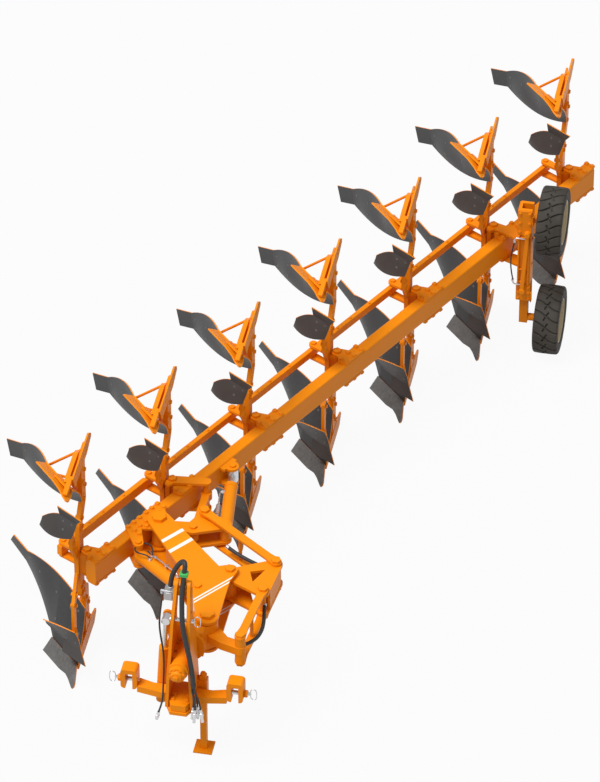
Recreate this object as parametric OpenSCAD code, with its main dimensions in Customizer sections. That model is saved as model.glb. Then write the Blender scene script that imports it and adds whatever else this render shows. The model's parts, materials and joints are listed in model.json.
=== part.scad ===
// Mounted reversible mouldboard plough with seven pairs of bodies, a variable
// working width and a sideways shifting linkage behind the headstock.
// Millimetres, +Z up, the plough travels towards -Y. The origin lies on the floor
// below the middle of the two lower hitch pins.

/* [Beam and stations] */
// Height of the beam's mid-plane over the floor
mid_height = 1000; // [980:5:1040]
// Distance between two stations along the beam
body_spacing = 1050; // [1000:5:1100]
// Angle between the beam and the direction of travel
beam_angle = 28; // [26:0.5:30]
// Width of the beam
beam_w = 100; // [90:1:110]
// Height of the beam
beam_h = 200; // [180:2:210]
// Beam centre line, sideways from the line of station pins
beam_across = 110; // [106:1:116]
// Beam length ahead of the first station
beam_nose = 85; // [70:1:110]
// Beam length behind the last station
beam_tail = 150; // [120:5:250]
// Thickness of the station plates on the beam
bracket_t = 18; // [12:1:22]
// Diameter of the station pins
station_pin_d = 44; // [36:1:48]
// Diameter of the control bar's pins
bar_pin_d = 30; // [24:1:32]
// Width of the control bar
bar_w = 46; // [40:1:50]
// Height of the control bar
bar_h = 70; // [60:1:76]
// Height of the heavy first length of the control bar
bar_h_front = 94; // [80:1:96]

/* [Linkage] */
// Beam pivot, sideways from the turnover axis
pivot_x = -480; // [-500:1:-460]
// Beam pivot, behind the hitch pins
pivot_y = 1383; // [1370:1:1400]
// Beam pivot, behind the first station along the beam
pivot_along = 610; // [590:1:630]
// Beam pivot, sideways from the line of station pins
pivot_across = 230; // [226:1:238]
// Swing arm pivot, sideways from the turnover axis
arm_x = 126; // [116:1:134]
// Swing arm pivot, behind the hitch pins
arm_y = 336; // [330:1:345]
// Bell crank pivot, sideways from the turnover axis
crank_x = 194; // [186:1:204]
// Bell crank pivot, behind the hitch pins
crank_y = 897; // [885:1:910]
// Half height of the swing arm
arm_half = 155; // [152:1:160]
// Thickness of the swing arm's plates
arm_t = 25; // [18:1:25]
// Diameter of the linkage pins
link_pin_d = 50; // [40:1:56]
// Diameter of the main pins at both ends of the swing arm
main_pin_d = 70; // [60:1:76]
// Running clearance round every pin
pin_gap = 0.5; // [0.3:0.1:1]

/* [Bodies] */
// Width that one body turns, from landside to tail joint
throw_w = 596; // [560:1:620]
// Height of the mouldboard's front corner over the floor
shin_z = 437; // [420:1:450]
// Height of the mouldboard's crown over the floor
crown_z = 565; // [550:1:580]
// Height of the mouldboard's wing edge over the floor
wing_z = 380; // [365:1:390]
// Thickness of the mouldboard
mould_t = 10; // [8:0.5:12]
// Angle of the share's cutting edge to the direction of travel
share_angle = 43; // [41:0.5:45]
// Slope of the share
share_slope = 38; // [34:0.5:42]
// Width of the share along its slope
share_w = 125; // [110:1:132]
// Thickness of the share
share_t = 12; // [9:0.5:14]
// Thickness of the legs
leg_t = 36; // [30:1:40]
// Height of the landside
landside_h = 140; // [110:1:150]
// Thickness of the landside
landside_t = 14; // [10:0.5:16]

/* [Headstock] */
// Height of the lower hitch pins over the floor
hitch_height = 700; // [680:5:720]
// Distance between the middles of the two lower hitch clevises
hitch_span = 842; // [820:2:870]
// Height of the top link pin over the lower hitch pins
mast_height = 685; // [660:5:700]
// Diameter of the lower hitch pins
hitch_pin_d = 36; // [28:1:37]
// Diameter of the top link pin
top_pin_d = 32; // [25:1:38]
// Free width inside a lower hitch clevis
clevis_gap = 58; // [54:1:64]
// Thickness of the tower's side plates
tower_t = 25; // [20:1:30]
// Distance between the tower's side plates
tower_gap = 160; // [152:2:170]
// Diameter of the turnover shaft
shaft_d = 90; // [80:1:96]
// Outside diameter of the turnover bearing tube
bearing_d = 136; // [128:1:146]
// Side of the parking stand's square tube
stand_w = 50; // [45:1:55]

/* [Depth wheels] */
// Outside diameter of the tyres
tyre_d = 590; // [560:2:600]
// Width of the tyres
tyre_w = 214; // [190:2:220]
// Diameter of the rims
rim_d = 380; // [360:2:400]
// Wheel column, sideways from the sixth station pin
column_reach = 294; // [285:1:305]
// Wheel column, ahead of the sixth station pin
column_ahead = 107; // [95:1:115]
// Gap between the wheel column and the tyres
wheel_gap = 60; // [50:1:70]
// Height of the raised wheel's axle over the beam's mid-plane
wheel_up = 350; // [345:1:365]
// Width of the wheel column
column_w = 110; // [100:2:116]
// Length of a lowered wheel leg that stays inside the column
column_grip = 120; // [100:5:140]

/* [Hydraulics] */
// Outside diameter of the working width cylinder
width_cyl_d = 105; // [90:1:110]
// Outside diameter of the offset cylinder
shift_cyl_d = 110; // [96:1:116]
// Outside diameter of the turnover cylinder
turn_cyl_d = 84; // [70:1:90]
// Diameter of the sleeve round the hose bundle
sleeve_d = 42; // [36:1:46]
// Diameter of one hose
hose_d = 15; // [12:1:18]

/* [Hidden] */
bodies = 7;
orange = "#f08c14";
dark_steel = "#4a4746";
share_steel = "#6c6a67";
skim_steel = "#4d443f";
chrome = "#d5d8da";
rubber = "#3b3835";
cream = "#d8c8a0";
black = "#262626";
green = "#35c04a";

along = [sin(beam_angle), cos(beam_angle)];
across = [cos(beam_angle), -sin(beam_angle)];
pivot = [pivot_x, pivot_y];
arm_root = [arm_x, arm_y];
crank = [crank_x, crank_y];
// Sides of the three parallelograms: headstock link, drag link and guide link
link_arm = [294, -156];
drag_arm = [331, 187];
guide_arm = [270, 30];
link_front = arm_root + link_arm;
link_rear = crank + link_arm;
drag_front = crank + drag_arm;
drag_rear = pivot + drag_arm;
guide_front = pivot + guide_arm;
station_1 = pivot - along * pivot_along - across * pivot_across;
// Control bar pin seen from the station pin, in the body's own direction
bar_arm = [-220, 120];

function station(i) = station_1 + along * body_spacing * (i - 1);
// A point given by its distances along and across the beam from the first station
function on_beam(a, c) = station_1 + along * a + across * c;

guide_rear = station(2) + guide_arm;
width_eye = pivot + [511, 112];
width_pin_along = 1531;
width_pin_across = beam_across + 118;
width_pin = on_beam(width_pin_along, width_pin_across);
shift_eye = [-19, 661];
shift_pin_along = 319;
shift_pin_across = beam_across + 150;
shift_pin = on_beam(shift_pin_along, shift_pin_across);

// Heights over the mid-plane of the stacked plates at the pivots
beam_half = beam_h / 2;
bracket_top = beam_half + bracket_t;
carrier_half = beam_half - 4;
arm_low = arm_half - arm_t;
saddle_z = arm_low - 5;
saddle_t = 22;
crank_half = 110;
crank_t = 25;
link_z = crank_half + 3;
link_t = 22;
lever_half = 85;
lever_t = 25;
guide_half = 28;
fork_z = 52;
clevis_z = 64;
fork_t = 22;
seat_gap = 0.3;
pad_gap = 0.8;

// Two copies, one mirrored in the mid-plane of the beam
module pair() {
    children();
    mirror([0, 0, 1]) children();
}

// Moves heights that are counted from the mid-plane to their real place
module at_mid() {
    translate([0, 0, mid_height]) children();
}

// Frame of the beam: x across, y along from the first station, z from the mid-plane
module in_beam() {
    translate([station_1[0], station_1[1], mid_height]) rotate([0, 0, -beam_angle]) children();
}

// Frame of a body: at its station pin, in the direction of travel
module at_station(i) {
    translate([station(i)[0], station(i)[1], mid_height]) children();
}

// Upright round bar between two heights
module post(p, r, z0, z1) {
    translate([p[0], p[1], z0]) cylinder(r = r, h = z1 - z0, $fn = 40);
}

// Flat plate of a 2D outline between two heights
module slab(z0, t) {
    translate([0, 0, z0]) linear_extrude(t) children();
}

// Plate in the plane of travel, its outline drawn in y and z, centred on x
module side_plate(x, t) {
    translate([x - t / 2, 0, 0]) rotate([90, 0, 90]) linear_extrude(t) children();
}

// Outline of two discs and the strip between them, its sides just inside the tangents
side_inset = 0.4;
module strap(p, rp, q, rq) {
    d = norm(q - p);
    a = atan2(q[1] - p[1], q[0] - p[0]);
    w = acos((rp - rq) / d);
    sp = rp - side_inset;
    sq = rq - side_inset;
    translate(p) circle(r = rp, $fn = 48);
    translate(q) circle(r = rq, $fn = 48);
    polygon([
        p + sp * [cos(a + w), sin(a + w)],
        q + sq * [cos(a + w), sin(a + w)],
        q + sq * [cos(a - w), sin(a - w)],
        p + sp * [cos(a - w), sin(a - w)]
    ]);
}

// Straight strip with square ends
module strip(p, q, w) {
    a = atan2(q[1] - p[1], q[0] - p[0]);
    translate(p) rotate(a) translate([0, -w / 2]) square([norm(q - p), w]);
}

// Rectangle with round corners
module round_rect(w, h, r) {
    square([w - 2 * r, h], center = true);
    square([w, h - 2 * r], center = true);
    for (x = [-1, 1], y = [-1, 1]) {
        translate([x * (w / 2 - r), y * (h / 2 - r)]) circle(r = r, $fn = 32);
    }
}

// Pin through the whole stack with a hexagon head at both ends
module through_pin(p, d, half, head) {
    post(p, d / 2, -half, half);
    pair() translate([p[0], p[1], half]) cylinder(r = head, h = d * 0.45, $fn = 6);
}

// Round bar between two points in space
module rod(p, q, r) {
    v = q - p;
    translate(p) rotate([0, acos(v[2] / norm(v)), atan2(v[1], v[0])]) {
        cylinder(r = r, h = norm(v), $fn = 32);
    }
}

// Moves along the line from p to q, with +Z pointing at q
module toward(p, q) {
    v = q - p;
    translate(p) rotate([0, acos(v[2] / norm(v)), atan2(v[1], v[0])]) children();
}

function lerp(a, b, t) = a + (b - a) * t;
function smooth(t) = let (s = min(1, max(0, t))) s * s * (3 - 2 * s);
function bezier(a, b, c, t) = a * (1 - t) * (1 - t) + b * 2 * t * (1 - t) + c * t * t;
function unit(v) = v / norm(v);

// Mouldboard: a surface over u, from the landside to the tail joint, and v, from the
// share to the crown. Heights are counted from the floor.
shin_x = -44;
joint_x = shin_x - throw_w;
share_top_z = share_w * sin(share_slope) + share_t * cos(share_slope) + 1;
edge_dir = [-sin(share_angle), cos(share_angle)];
edge_back = [cos(share_angle), sin(share_angle)];
share_nose = [-130, -291];
share_len = 360;
share_heel = share_nose + edge_dir * share_len;
share_run = share_w * cos(share_slope);
// Line behind the share where the mouldboard begins
seam = share_nose + edge_back * (share_run + 13);
mould_foot = seam - edge_dir * (shin_x - seam[0]) / sin(share_angle);
wing_start = seam + edge_dir * share_len;
joint_y = 570;
function mould_low(u) =
    let (p = bezier(mould_foot, wing_start, [joint_x, joint_y + 16], u))
    [p[0], p[1], share_top_z + 3 + (wing_z - share_top_z) * smooth((u - 0.36) / 0.3)];
function mould_top(u) =
    let (z = bezier(shin_z, 2 * crown_z - (shin_z + crown_z - 50) / 2, crown_z - 50, u))
    [lerp(shin_x, joint_x + 12, u), lerp(54, joint_y - 16, u), z];
function mould_mid(u) =
    let (a = mould_low(u), b = mould_top(u), k = 1 - u / 2)
    [lerp(a[0], b[0], k), lerp(a[1], b[1], k), lerp(a[2], b[2], 0.7 - 0.2 * u)];
function mould(u, v) = bezier(mould_low(u), mould_mid(u), mould_top(u), v);
function mould_normal(u, v) =
    let (e = 0.01, u0 = max(0, u - e), u1 = min(1, u + e), v0 = max(0, v - e), v1 = min(1, v + e))
    unit(cross(mould(u, v1) - mould(u, v0), mould(u1, v) - mould(u0, v)));
function mould_back(u, v, d) = mould(u, v) - mould_normal(u, v) * d;

mould_nu = 12;
mould_nv = 5;

// Closed skin of two grids of points with the same layout
module shell_of(front, back, nu, nv) {
    w = nv + 1;
    n = (nu + 1) * w;
    faces = concat(
        [for (i = [0:nu - 1], j = [0:nv - 1], k = [0, 1])
            let (a = i * w + j)
            k == 0 ? [a, a + 1, a + w] : [a + 1, a + w + 1, a + w]],
        [for (i = [0:nu - 1], j = [0:nv - 1], k = [0, 1])
            let (a = n + i * w + j)
            k == 0 ? [a, a + w, a + 1] : [a + 1, a + w, a + w + 1]],
        [for (i = [0:nu - 1], k = [0, 1])
            let (a = i * w)
            k == 0 ? [a, a + w, n + a] : [a + w, n + a + w, n + a]],
        [for (i = [0:nu - 1], k = [0, 1])
            let (a = i * w + nv)
            k == 0 ? [a, n + a, a + w] : [a + w, n + a, n + a + w]],
        [for (j = [0:nv - 1], k = [0, 1])
            let (a = j)
            k == 0 ? [a, n + a, a + 1] : [a + 1, n + a, n + a + 1]],
        [for (j = [0:nv - 1], k = [0, 1])
            let (a = nu * w + j)
            k == 0 ? [a, a + 1, n + a] : [a + 1, n + a + 1, n + a]]);
    polyhedron(concat(front, back), faces, convexity = 6);
}

// Mouldboard with its narrow tail piece, heights from the floor
tail_low = [joint_x - 165, joint_y + 150, wing_z + 86];
tail_top = [joint_x - 122, joint_y + 82, wing_z + 200];
module mouldboard() {
    front = [for (i = [0:mould_nu + 1], j = [0:mould_nv])
        i > mould_nu ? lerp(tail_low, tail_top, j / mould_nv) : mould(i / mould_nu, j / mould_nv)];
    back = [for (i = [0:mould_nu + 1], j = [0:mould_nv])
        front[i * (mould_nv + 1) + j] - mould_normal(min(1, i / mould_nu), j / mould_nv) * mould_t];
    shell_of(back, front, mould_nu + 1, mould_nv);
}

// Frame of the share: x along the cutting edge to the wing, y up the slope
module on_share() {
    translate([share_nose[0], share_nose[1], share_t * cos(share_slope) + 1])
        rotate([0, 0, 90 + share_angle]) rotate([-share_slope, 0, 0]) mirror([0, 1, 0]) children();
}

// Share blade, and the bar point that lies on the frog's nose beside it
point_w = 62;
point_pitch = 20;
point_len = 240;
point_x = shin_x - point_w / 2 + 2;
point_y = -445;
module share() {
    on_share() slab(-share_t, share_t) polygon([
        [0, 0], [share_len, 0], [share_len - 20, share_w], [76, share_w], [3, 38]
    ]);
    translate([point_x, point_y, 1]) rotate([point_pitch, 0, 0]) linear_extrude(share_t) polygon([
        [-point_w / 2 + 18, 0], [point_w / 2 - 10, 0], [point_w / 2, 24],
        [point_w / 2, point_len], [-point_w / 2, point_len], [-point_w / 2, 60]
    ]);
}

// Skimmer: small mouldboard and share ahead of the body, heights from the floor
skim_tip = [52, -407, 240];
skim_heel = [-169, -259, 244];
function skim_low(u) = lerp(skim_tip + [-8, 20, 40], [-185, -235, 285], u);
function skim_top(u) = [lerp(20, -330, u), lerp(-290, -180, u), 430 + 70 * u + 60 * u * (1 - u)];
function skim(u, v) =
    bezier(skim_low(u), lerp(skim_low(u), skim_top(u), 0.5) + [20, 60, -25] * (1 - u / 3), skim_top(u), v);
function skim_normal(u, v) =
    let (e = 0.02, u0 = max(0, u - e), u1 = min(1, u + e), v0 = max(0, v - e), v1 = min(1, v + e))
    unit(cross(skim(u, v1) - skim(u, v0), skim(u1, v) - skim(u0, v)));
function skim_back(u, v, d) = skim(u, v) - skim_normal(u, v) * d;
skim_nu = 6;
skim_nv = 4;
skim_t = 8;
module skimmer() {
    front = [for (i = [0:skim_nu], j = [0:skim_nv]) skim(i / skim_nu, j / skim_nv)];
    back = [for (i = [0:skim_nu], j = [0:skim_nv])
        skim_back(i / skim_nu, j / skim_nv, skim_t)];
    shell_of(back, front, skim_nu, skim_nv);
    a = skim_low(0);
    b = skim_low(1);
    t = skim_normal(0.5, 0) * skim_t;
    shell_of([skim_tip - t, a - t, skim_heel - t, b - t], [skim_tip, a, skim_heel, b], 1, 1);
}

// Leg, frog, landsides and stays of one body, heights from the floor
leg_x = -70;
frog_x = leg_x - leg_t + 2;
function mould_u_at(x, v, lo = 0, hi = 1, n = 14) =
    let (m = (lo + hi) / 2)
    n == 0 ? m : mould(m, v)[0] > x ? mould_u_at(x, v, m, hi, n - 1) : mould_u_at(x, v, lo, m, n - 1);
// Height of the underside of the point, less the seat gap
function point_seat(y) = 1 + (y - point_y) * tan(point_pitch) - seat_gap;
module frog_outline() {
    x = frog_x - leg_t / 2;
    edge = [for (j = [0:6])
        let (v = 0.06 + 0.13 * j, u = mould_u_at(x, v), p = mould_back(u, v, mould_t))
        [p[1] + 26, p[2]]];
    polygon(concat(edge, [[210, shin_z - 30], [230, 60], [160, 25], [-120, 25], [-188, 36]]));
}
module body_frame() {
    side_plate(frog_x, leg_t) frog_outline();
    on_share() slab(-share_t - seat_gap - 14, 14) polygon([
        [0, 50], [170, 50], [190, share_w - 6], [25, share_w - 6]
    ]);
    side_plate(point_x - 6, leg_t) polygon([
        [-350, 20], [-350, point_seat(-350)], [-225, point_seat(-225)], [-215, 56], [-130, 50], [-130, 20]
    ]);
    side_plate(shin_x - landside_t / 2 - 4, landside_t) polygon([
        [-190, 1], [380, 1], [455, 60], [452, 90], [300, landside_h], [-120, landside_h]
    ]);
    side_plate(-108, landside_t) polygon([
        [60, 150], [430, 150], [472, 175], [468, 195], [60, 235]
    ]);
    for (s = [[9, 2, [-60, 330, 110]], [9, 3, [leg_x, 180, 330]]]) {
        u = s[0] / mould_nu;
        v = s[1] / mould_nv;
        rod(mould_back(u, v, mould_t + 20), s[2], 11);
        rod(mould_back(u, v, mould_t + pad_gap), mould_back(u, v, mould_t + 30), 12);
    }
}

// Stalk that carries a skimmer, heights from the floor
module skim_stalk() {
    side_plate(leg_x - 4, 26) {
        strap([-40, mid_height - 90], 40, [-190, 700], 34);
        strap([-190, 700], 34, [-195, 440], 32);
    }
    rod([leg_x, -190, 440], skim_back(1 / 3, 1 / 2, skim_t + 26), 15);
    rod(skim_back(1 / 3, 1 / 2, skim_t + pad_gap), skim_back(1 / 3, 1 / 2, skim_t + 34), 18);
}

// Both legs of a pair in one outline, heights from the mid-plane
module leg_outline() {
    square([150, 200], center = true);
    for (m = [0, 1]) mirror([0, m]) {
        strap([40, -60], 72, [44, -340], 60);
        strap([44, -340], 60, [180, 525 - mid_height], 58);
        strap([180, 525 - mid_height], 58, [170, 110 - mid_height], 66);
    }
}

// Carrier that turns on the station pin and holds both legs of a pair
block_y = 50;
block_x = leg_x - leg_t / 2 - 6;
module carrier() {
    side_plate(leg_x, leg_t) leg_outline();
    post([0, 0], 43, -carrier_half, carrier_half);
    translate([block_x, -block_y, 3 - carrier_half]) cube([10 - block_x, 2 * block_y, 2 * carrier_half - 6]);
    pair() slab(fork_z, fork_t) strap([leg_x, 38], 30, bar_arm, 36);
    through_pin(bar_arm, bar_pin_d, fork_z + fork_t, 24);
}

module from_floor() {
    translate([0, 0, -mid_height]) children();
}

module leg(i) {
    color(orange) at_station(i) difference() {
        union() {
            carrier();
            pair() from_floor() body_frame();
            pair() from_floor() skim_stalk();
        }
        post([0, 0], station_pin_d / 2 + pin_gap, -carrier_half - 1, carrier_half + 1);
    }
}

// Saddle over the beam, held by a web on the front of a carrier
module saddle(reach, r) {
    pair() slab(saddle_z, saddle_t) {
        strap([0, 0], 44, reach, r);
        strap([0, 0], 44, [-26, -block_y - 12], 24);
    }
    translate([-44, -block_y - 25, -saddle_z - saddle_t]) cube([36, 25 - seat_gap, 2 * (saddle_z + saddle_t)]);
}

module mouldboards(i) {
    color(dark_steel) at_station(i) pair() from_floor() mouldboard();
}

module shares(i) {
    color(share_steel) at_station(i) pair() from_floor() share();
}

module skimmers(i) {
    color(skim_steel) at_station(i) pair() from_floor() skimmer();
}

// Plates of the second station that reach over the beam to the guide link
module guide_plates() {
    color(orange) at_station(2) difference() {
        union() {
            saddle(guide_arm, 40);
            post(guide_arm, 26, -saddle_z, saddle_z);
        }
        post([0, 0], station_pin_d / 2 + pin_gap, -mid_height, mid_height);
    }
}

module beam() {
    color(orange) in_beam() translate([beam_across, -beam_nose, 0]) rotate([-90, 0, 0])
        linear_extrude(beam_nose + (bodies - 1) * body_spacing + beam_tail) round_rect(beam_w, beam_h, 16);
}

// Station plates, pivot saddle and cylinder brackets bolted round the beam
module beam_brackets() {
    color(orange) in_beam() {
        for (i = [0:bodies - 1]) translate([0, i * body_spacing, 0]) {
            pair() slab(beam_half, bracket_t) {
                strap([0, 0], 46, [beam_across - 22, 20], 62);
                translate([beam_across, 40]) round_rect(beam_w - 6, 250, 22);
            }
            through_pin([0, 0], station_pin_d, i == 1 || i == 5 ? saddle_z + saddle_t : bracket_top, 34);
        }
        difference() {
            pair() slab(beam_half, bracket_t) {
                strap([pivot_across, pivot_along], 84, [beam_across, pivot_along + 130], 50);
                strap([pivot_across, pivot_along], 84, [beam_across, pivot_along - 130], 50);
                strap([shift_pin_across, shift_pin_along], 42, [beam_across + 10, shift_pin_along + 111], 60);
                translate([beam_across, pivot_along - 20]) round_rect(beam_w - 4, 420, 24);
            }
            post([pivot_across, pivot_along], main_pin_d / 2 + pin_gap, -mid_height, mid_height);
        }
        pair() slab(clevis_z, 22) {
            strap([width_pin_across, width_pin_along], 48, [beam_across + beam_w / 2 + 58, width_pin_along], 56);
            translate([beam_across + beam_w / 2, width_pin_along - 80]) square([46, 160]);
        }
        pair() translate([width_pin_across, width_pin_along, clevis_z + 22]) cylinder(r = 26, h = 16, $fn = 6);
        pair() translate([shift_pin_across, shift_pin_along, bracket_top]) cylinder(r = 26, h = 16, $fn = 6);
    }
}

// Bar that keeps all bodies parallel
bar_start = [bar_arm * across, bar_arm * along];
module control_bar() {
    color(orange) in_beam() difference() {
        translate([bar_start[0], bar_start[1], 0]) {
            translate([0, -48, 0]) rotate([-90, 0, 0]) linear_extrude(body_spacing)
                round_rect(bar_w, bar_h_front, 5);
            translate([0, body_spacing - 60, 0]) rotate([-90, 0, 0])
                linear_extrude((bodies - 2) * body_spacing + 100) round_rect(bar_w - 4, bar_h, 5);
        }
        for (i = [0:bodies - 1]) {
            post(bar_start + [0, i * body_spacing], bar_pin_d / 2 + pin_gap, -mid_height, mid_height);
        }
    }
}

// Swing arm: two plates, spine webs and its three pins
module arm_outline() {
    strap(arm_root, 92, [70, 740], 150);
    strap([70, 740], 150, pivot, 92);
    strap(crank, 60, [70, 760], 140);
    strap(shift_eye, 48, [70, 760], 140);
}
module swing_arm() {
    color(orange) at_mid() {
        difference() {
            pair() slab(arm_low, arm_t) arm_outline();
            post(arm_root, main_pin_d / 2 + pin_gap, -mid_height, mid_height);
        }
        slab(-arm_low, 2 * arm_low) {
            strip([170, 470], [95, 760], 26);
            strip([100, 740], [-330, 1230], 26);
            strip([-20, 790], [-370, 1170], 26);
        }
        through_pin(pivot, main_pin_d, arm_half, 58);
        through_pin(crank, link_pin_d, arm_half, 40);
        through_pin(shift_eye, 40, arm_half, 34);
    }
}

// Bell crank with a triangular window
module bell_crank() {
    window = [lerp(crank, drag_front, 0.42) + [10, -22], lerp(crank, drag_front, 0.75) + [14, -40],
        lerp(crank, link_rear, 0.62) + [10, 40]];
    color(orange) at_mid() {
        difference() {
            union() {
                pair() slab(crank_half - crank_t, crank_t) difference() {
                    union() {
                        strap(crank, 62, drag_front, 52);
                        strap(crank, 62, link_rear, 50);
                        strap(drag_front, 52, link_rear, 50);
                        polygon([crank, drag_front, link_rear]);
                    }
                    polygon(window);
                }
                post(crank, 58, -crank_half, crank_half);
                slab(-crank_half + crank_t, 2 * (crank_half - crank_t)) {
                    strip(lerp(crank, drag_front, 0.1), lerp(crank, drag_front, 0.9), 22);
                    strip(drag_front + [34, -20], link_rear + [42, 30], 20);
                }
            }
            post(crank, link_pin_d / 2 + pin_gap, -mid_height, mid_height);
        }
        through_pin(drag_front, link_pin_d, link_z + link_t, 40);
        through_pin(link_rear, link_pin_d, link_z + link_t, 40);
    }
}

// Pair of flat bars with a spacer between them, bored at both ends
module link_bars(p, q, w) {
    difference() {
        union() {
            pair() slab(link_z, link_t) {
                strap(p, 44, p + unit(q - p) * 90, w / 2);
                strap(q, 44, q - unit(q - p) * 90, w / 2);
                strip(p, q, w);
            }
            post(lerp(p, q, 0.5), 15, -link_z, link_z);
        }
        for (c = [p, q]) post(c, link_pin_d / 2 + pin_gap, -mid_height, mid_height);
    }
}
module head_link() {
    color(orange) at_mid() link_bars(link_front, link_rear, 62);
}
module drag_link() {
    color(orange) at_mid() link_bars(drag_front, drag_rear, 68);
}

// Lever on the beam pivot: carries the drag link, the guide link and the cylinder
module lever() {
    color(orange) at_mid() {
        difference() {
            union() {
                pair() slab(lever_half - lever_t, lever_t) {
                    strap(pivot, 62, guide_front, 62);
                    strap(guide_front, 62, drag_rear, 50);
                    strap(guide_front, 70, width_eye, 52);
                    strap(drag_rear, 50, width_eye, 52);
                }
                post(pivot, 60, -carrier_half, carrier_half);
            }
            post(pivot, main_pin_d / 2 + pin_gap, -mid_height, mid_height);
        }
        post(drag_rear, 40, lever_half - lever_t, link_z - 2);
        mirror([0, 0, 1]) post(drag_rear, 40, lever_half - lever_t, link_z - 2);
        through_pin(drag_rear, link_pin_d, link_z + link_t, 40);
        through_pin(guide_front, 40, lever_half, 32);
        through_pin(width_eye, 40, lever_half, 32);
    }
}

module guide_link() {
    color(orange) at_mid() difference() {
        union() {
            slab(-guide_half, 2 * guide_half) strip(guide_front, guide_rear, 60);
            post(guide_front, 44, -guide_half - 3, guide_half + 3);
            post(guide_rear, 46, -guide_half - 3, guide_half + 3);
        }
        post(guide_front, 20 + pin_gap, -mid_height, mid_height);
        post(guide_rear, 26 + pin_gap, -mid_height, mid_height);
    }
}

// Turnover head: shaft, flange, arm boss and the curved link arm
module turnover_head() {
    color(orange) at_mid() {
        rotate([-90, 0, 0]) translate([0, 0, -210]) cylinder(r = shaft_d / 2, h = 340, $fn = 64);
        rotate([-90, 0, 0]) translate([0, 0, 126]) cylinder(r = 150, h = 34, $fn = 64);
        slab(-118, 236) difference() {
            union() {
                translate([-70, 160]) square([200, 70]);
                strap([0, 200], 60, arm_root, 86);
            }
            translate(arm_root) circle(r = main_pin_d / 2 - 1, $fn = 48);
        }
        through_pin(arm_root, main_pin_d, arm_half, 58);
        slab(-36, 72) {
            strap(arm_root + [40, -30], 70, lerp(arm_root, link_front, 0.55) + [-6, -34], 44);
            strap(lerp(arm_root, link_front, 0.55) + [-6, -34], 44, link_front, 46);
        }
        post(link_front, 42, -link_z + 2, link_z - 2);
        through_pin(link_front, link_pin_d, link_z + link_t, 40);
        translate([0, 150, 0]) rotate([90, 0, 0]) linear_extrude(24)
            strap([0, 0], 120, [turn_eye[0], turn_eye[2] - mid_height], 38);
        translate([turn_eye[0], 140, turn_eye[2] - mid_height]) rotate([90, 0, 0])
            cylinder(r = 18, h = 22, $fn = 40);
    }
}

// Headstock: two leaning tower plates, bearing tube, base and the stand's sleeve
tower_lean = 2.6;
tower_base = 590;
tower_top = 1690;
bearing_front = -221;
bearing_rear = 118;
// Outer face of a tower plate at the foot
tower_foot = tower_gap / 2 + tower_t + 8;
sleeve_x = tower_foot;
sleeve_y = 32;
sleeve_wall = 10;
module tower_outline() {
    polygon([[-150, tower_base], [105, tower_base], [112, 1130], [66, 1420], [-66, 1420], [-150, 880]]);
    strap([2, 1420], 64, [70, tower_top], 40);
}
module tower_plates() {
    difference() {
        for (m = [0, 1]) mirror([m, 0, 0]) translate([tower_foot - tower_t, 0, tower_base])
            rotate([0, -tower_lean, 0]) translate([0, 0, -tower_base])
                rotate([90, 0, 90]) linear_extrude(tower_t) tower_outline();
        for (p = [[0, 0], [10, 85]])
            translate([-tower_gap, p[0], hitch_height + mast_height + p[1]]) rotate([0, 90, 0])
                cylinder(d = top_pin_d + 2 * pin_gap, h = 2 * tower_gap, $fn = 48);
    }
}
module headstock() {
    inner = tower_foot - tower_t / 2;
    color(orange) {
        tower_plates();
        difference() {
            union() {
                at_mid() rotate([-90, 0, 0]) translate([0, 0, bearing_front])
                    cylinder(d = bearing_d, h = bearing_rear - bearing_front, $fn = 64);
                for (y = [-70, 20]) translate([20 - inner, y, mid_height - 50]) cube([2 * inner - 40, 60, 100]);
            }
            at_mid() rotate([-90, 0, 0]) translate([0, 0, bearing_front + 8])
                cylinder(d = shaft_d + 2 * pin_gap, h = 600, $fn = 64);
        }
        at_mid() rotate([-90, 0, 0]) translate([0, 0, bearing_front - 26]) cylinder(r = 34, h = 30, $fn = 48);
        slab(tower_base + 5, 60) polygon([[-inner, 95], [inner, 95], [inner, -90], [58, -190], [-58, -190],
            [-inner, -90]]);
        slab(tower_base - 30, 30) polygon([[-tower_foot, 100], [tower_foot, 100], [tower_foot, -110],
            [66, -200], [-66, -200], [-tower_foot, -110]]);
        translate([-70, 40, tower_top - 90]) cube([140, 50, 60]);
        difference() {
            translate([sleeve_x - 6, sleeve_y, tower_base - 25])
                cube([stand_w + 2 * sleeve_wall + 6, stand_w + 2 * sleeve_wall, 175]);
            translate([sleeve_x + sleeve_wall - pin_gap, sleeve_y + sleeve_wall - pin_gap, 300])
                cube([stand_w + 2 * pin_gap, stand_w + 2 * pin_gap, 900]);
        }
    }
}

// Flat arms with the lower hitch clevises
module hitch_arms() {
    clevis_w = clevis_gap + 72;
    inner = hitch_span / 2 - clevis_w / 2;
    arm_z = hitch_height - 85;
    arm_x0 = tower_foot - (arm_z - tower_base) * tan(tower_lean) + seat_gap;
    color(orange) for (s = [0, 1]) mirror([s, 0, 0]) {
        slab(arm_z, 62) polygon([[arm_x0, -95], [inner, -52], [inner, 48],
            [tower_foot + 120, 14], [arm_x0, 14]]);
        difference() {
            translate([hitch_span / 2, 55, hitch_height - 60]) rotate([90, 0, 0]) linear_extrude(110)
                difference() {
                    translate([0, 95]) round_rect(clevis_w, 190, 30);
                    translate([-clevis_gap / 2, -10]) square([clevis_gap, 160]);
                    translate([-clevis_w, -20]) square([2 * clevis_w, 20]);
                }
            translate([0, 0, hitch_height]) rotate([0, 90, 0])
                cylinder(d = hitch_pin_d + 2 * pin_gap, h = hitch_span, $fn = 48);
        }
    }
}

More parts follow.
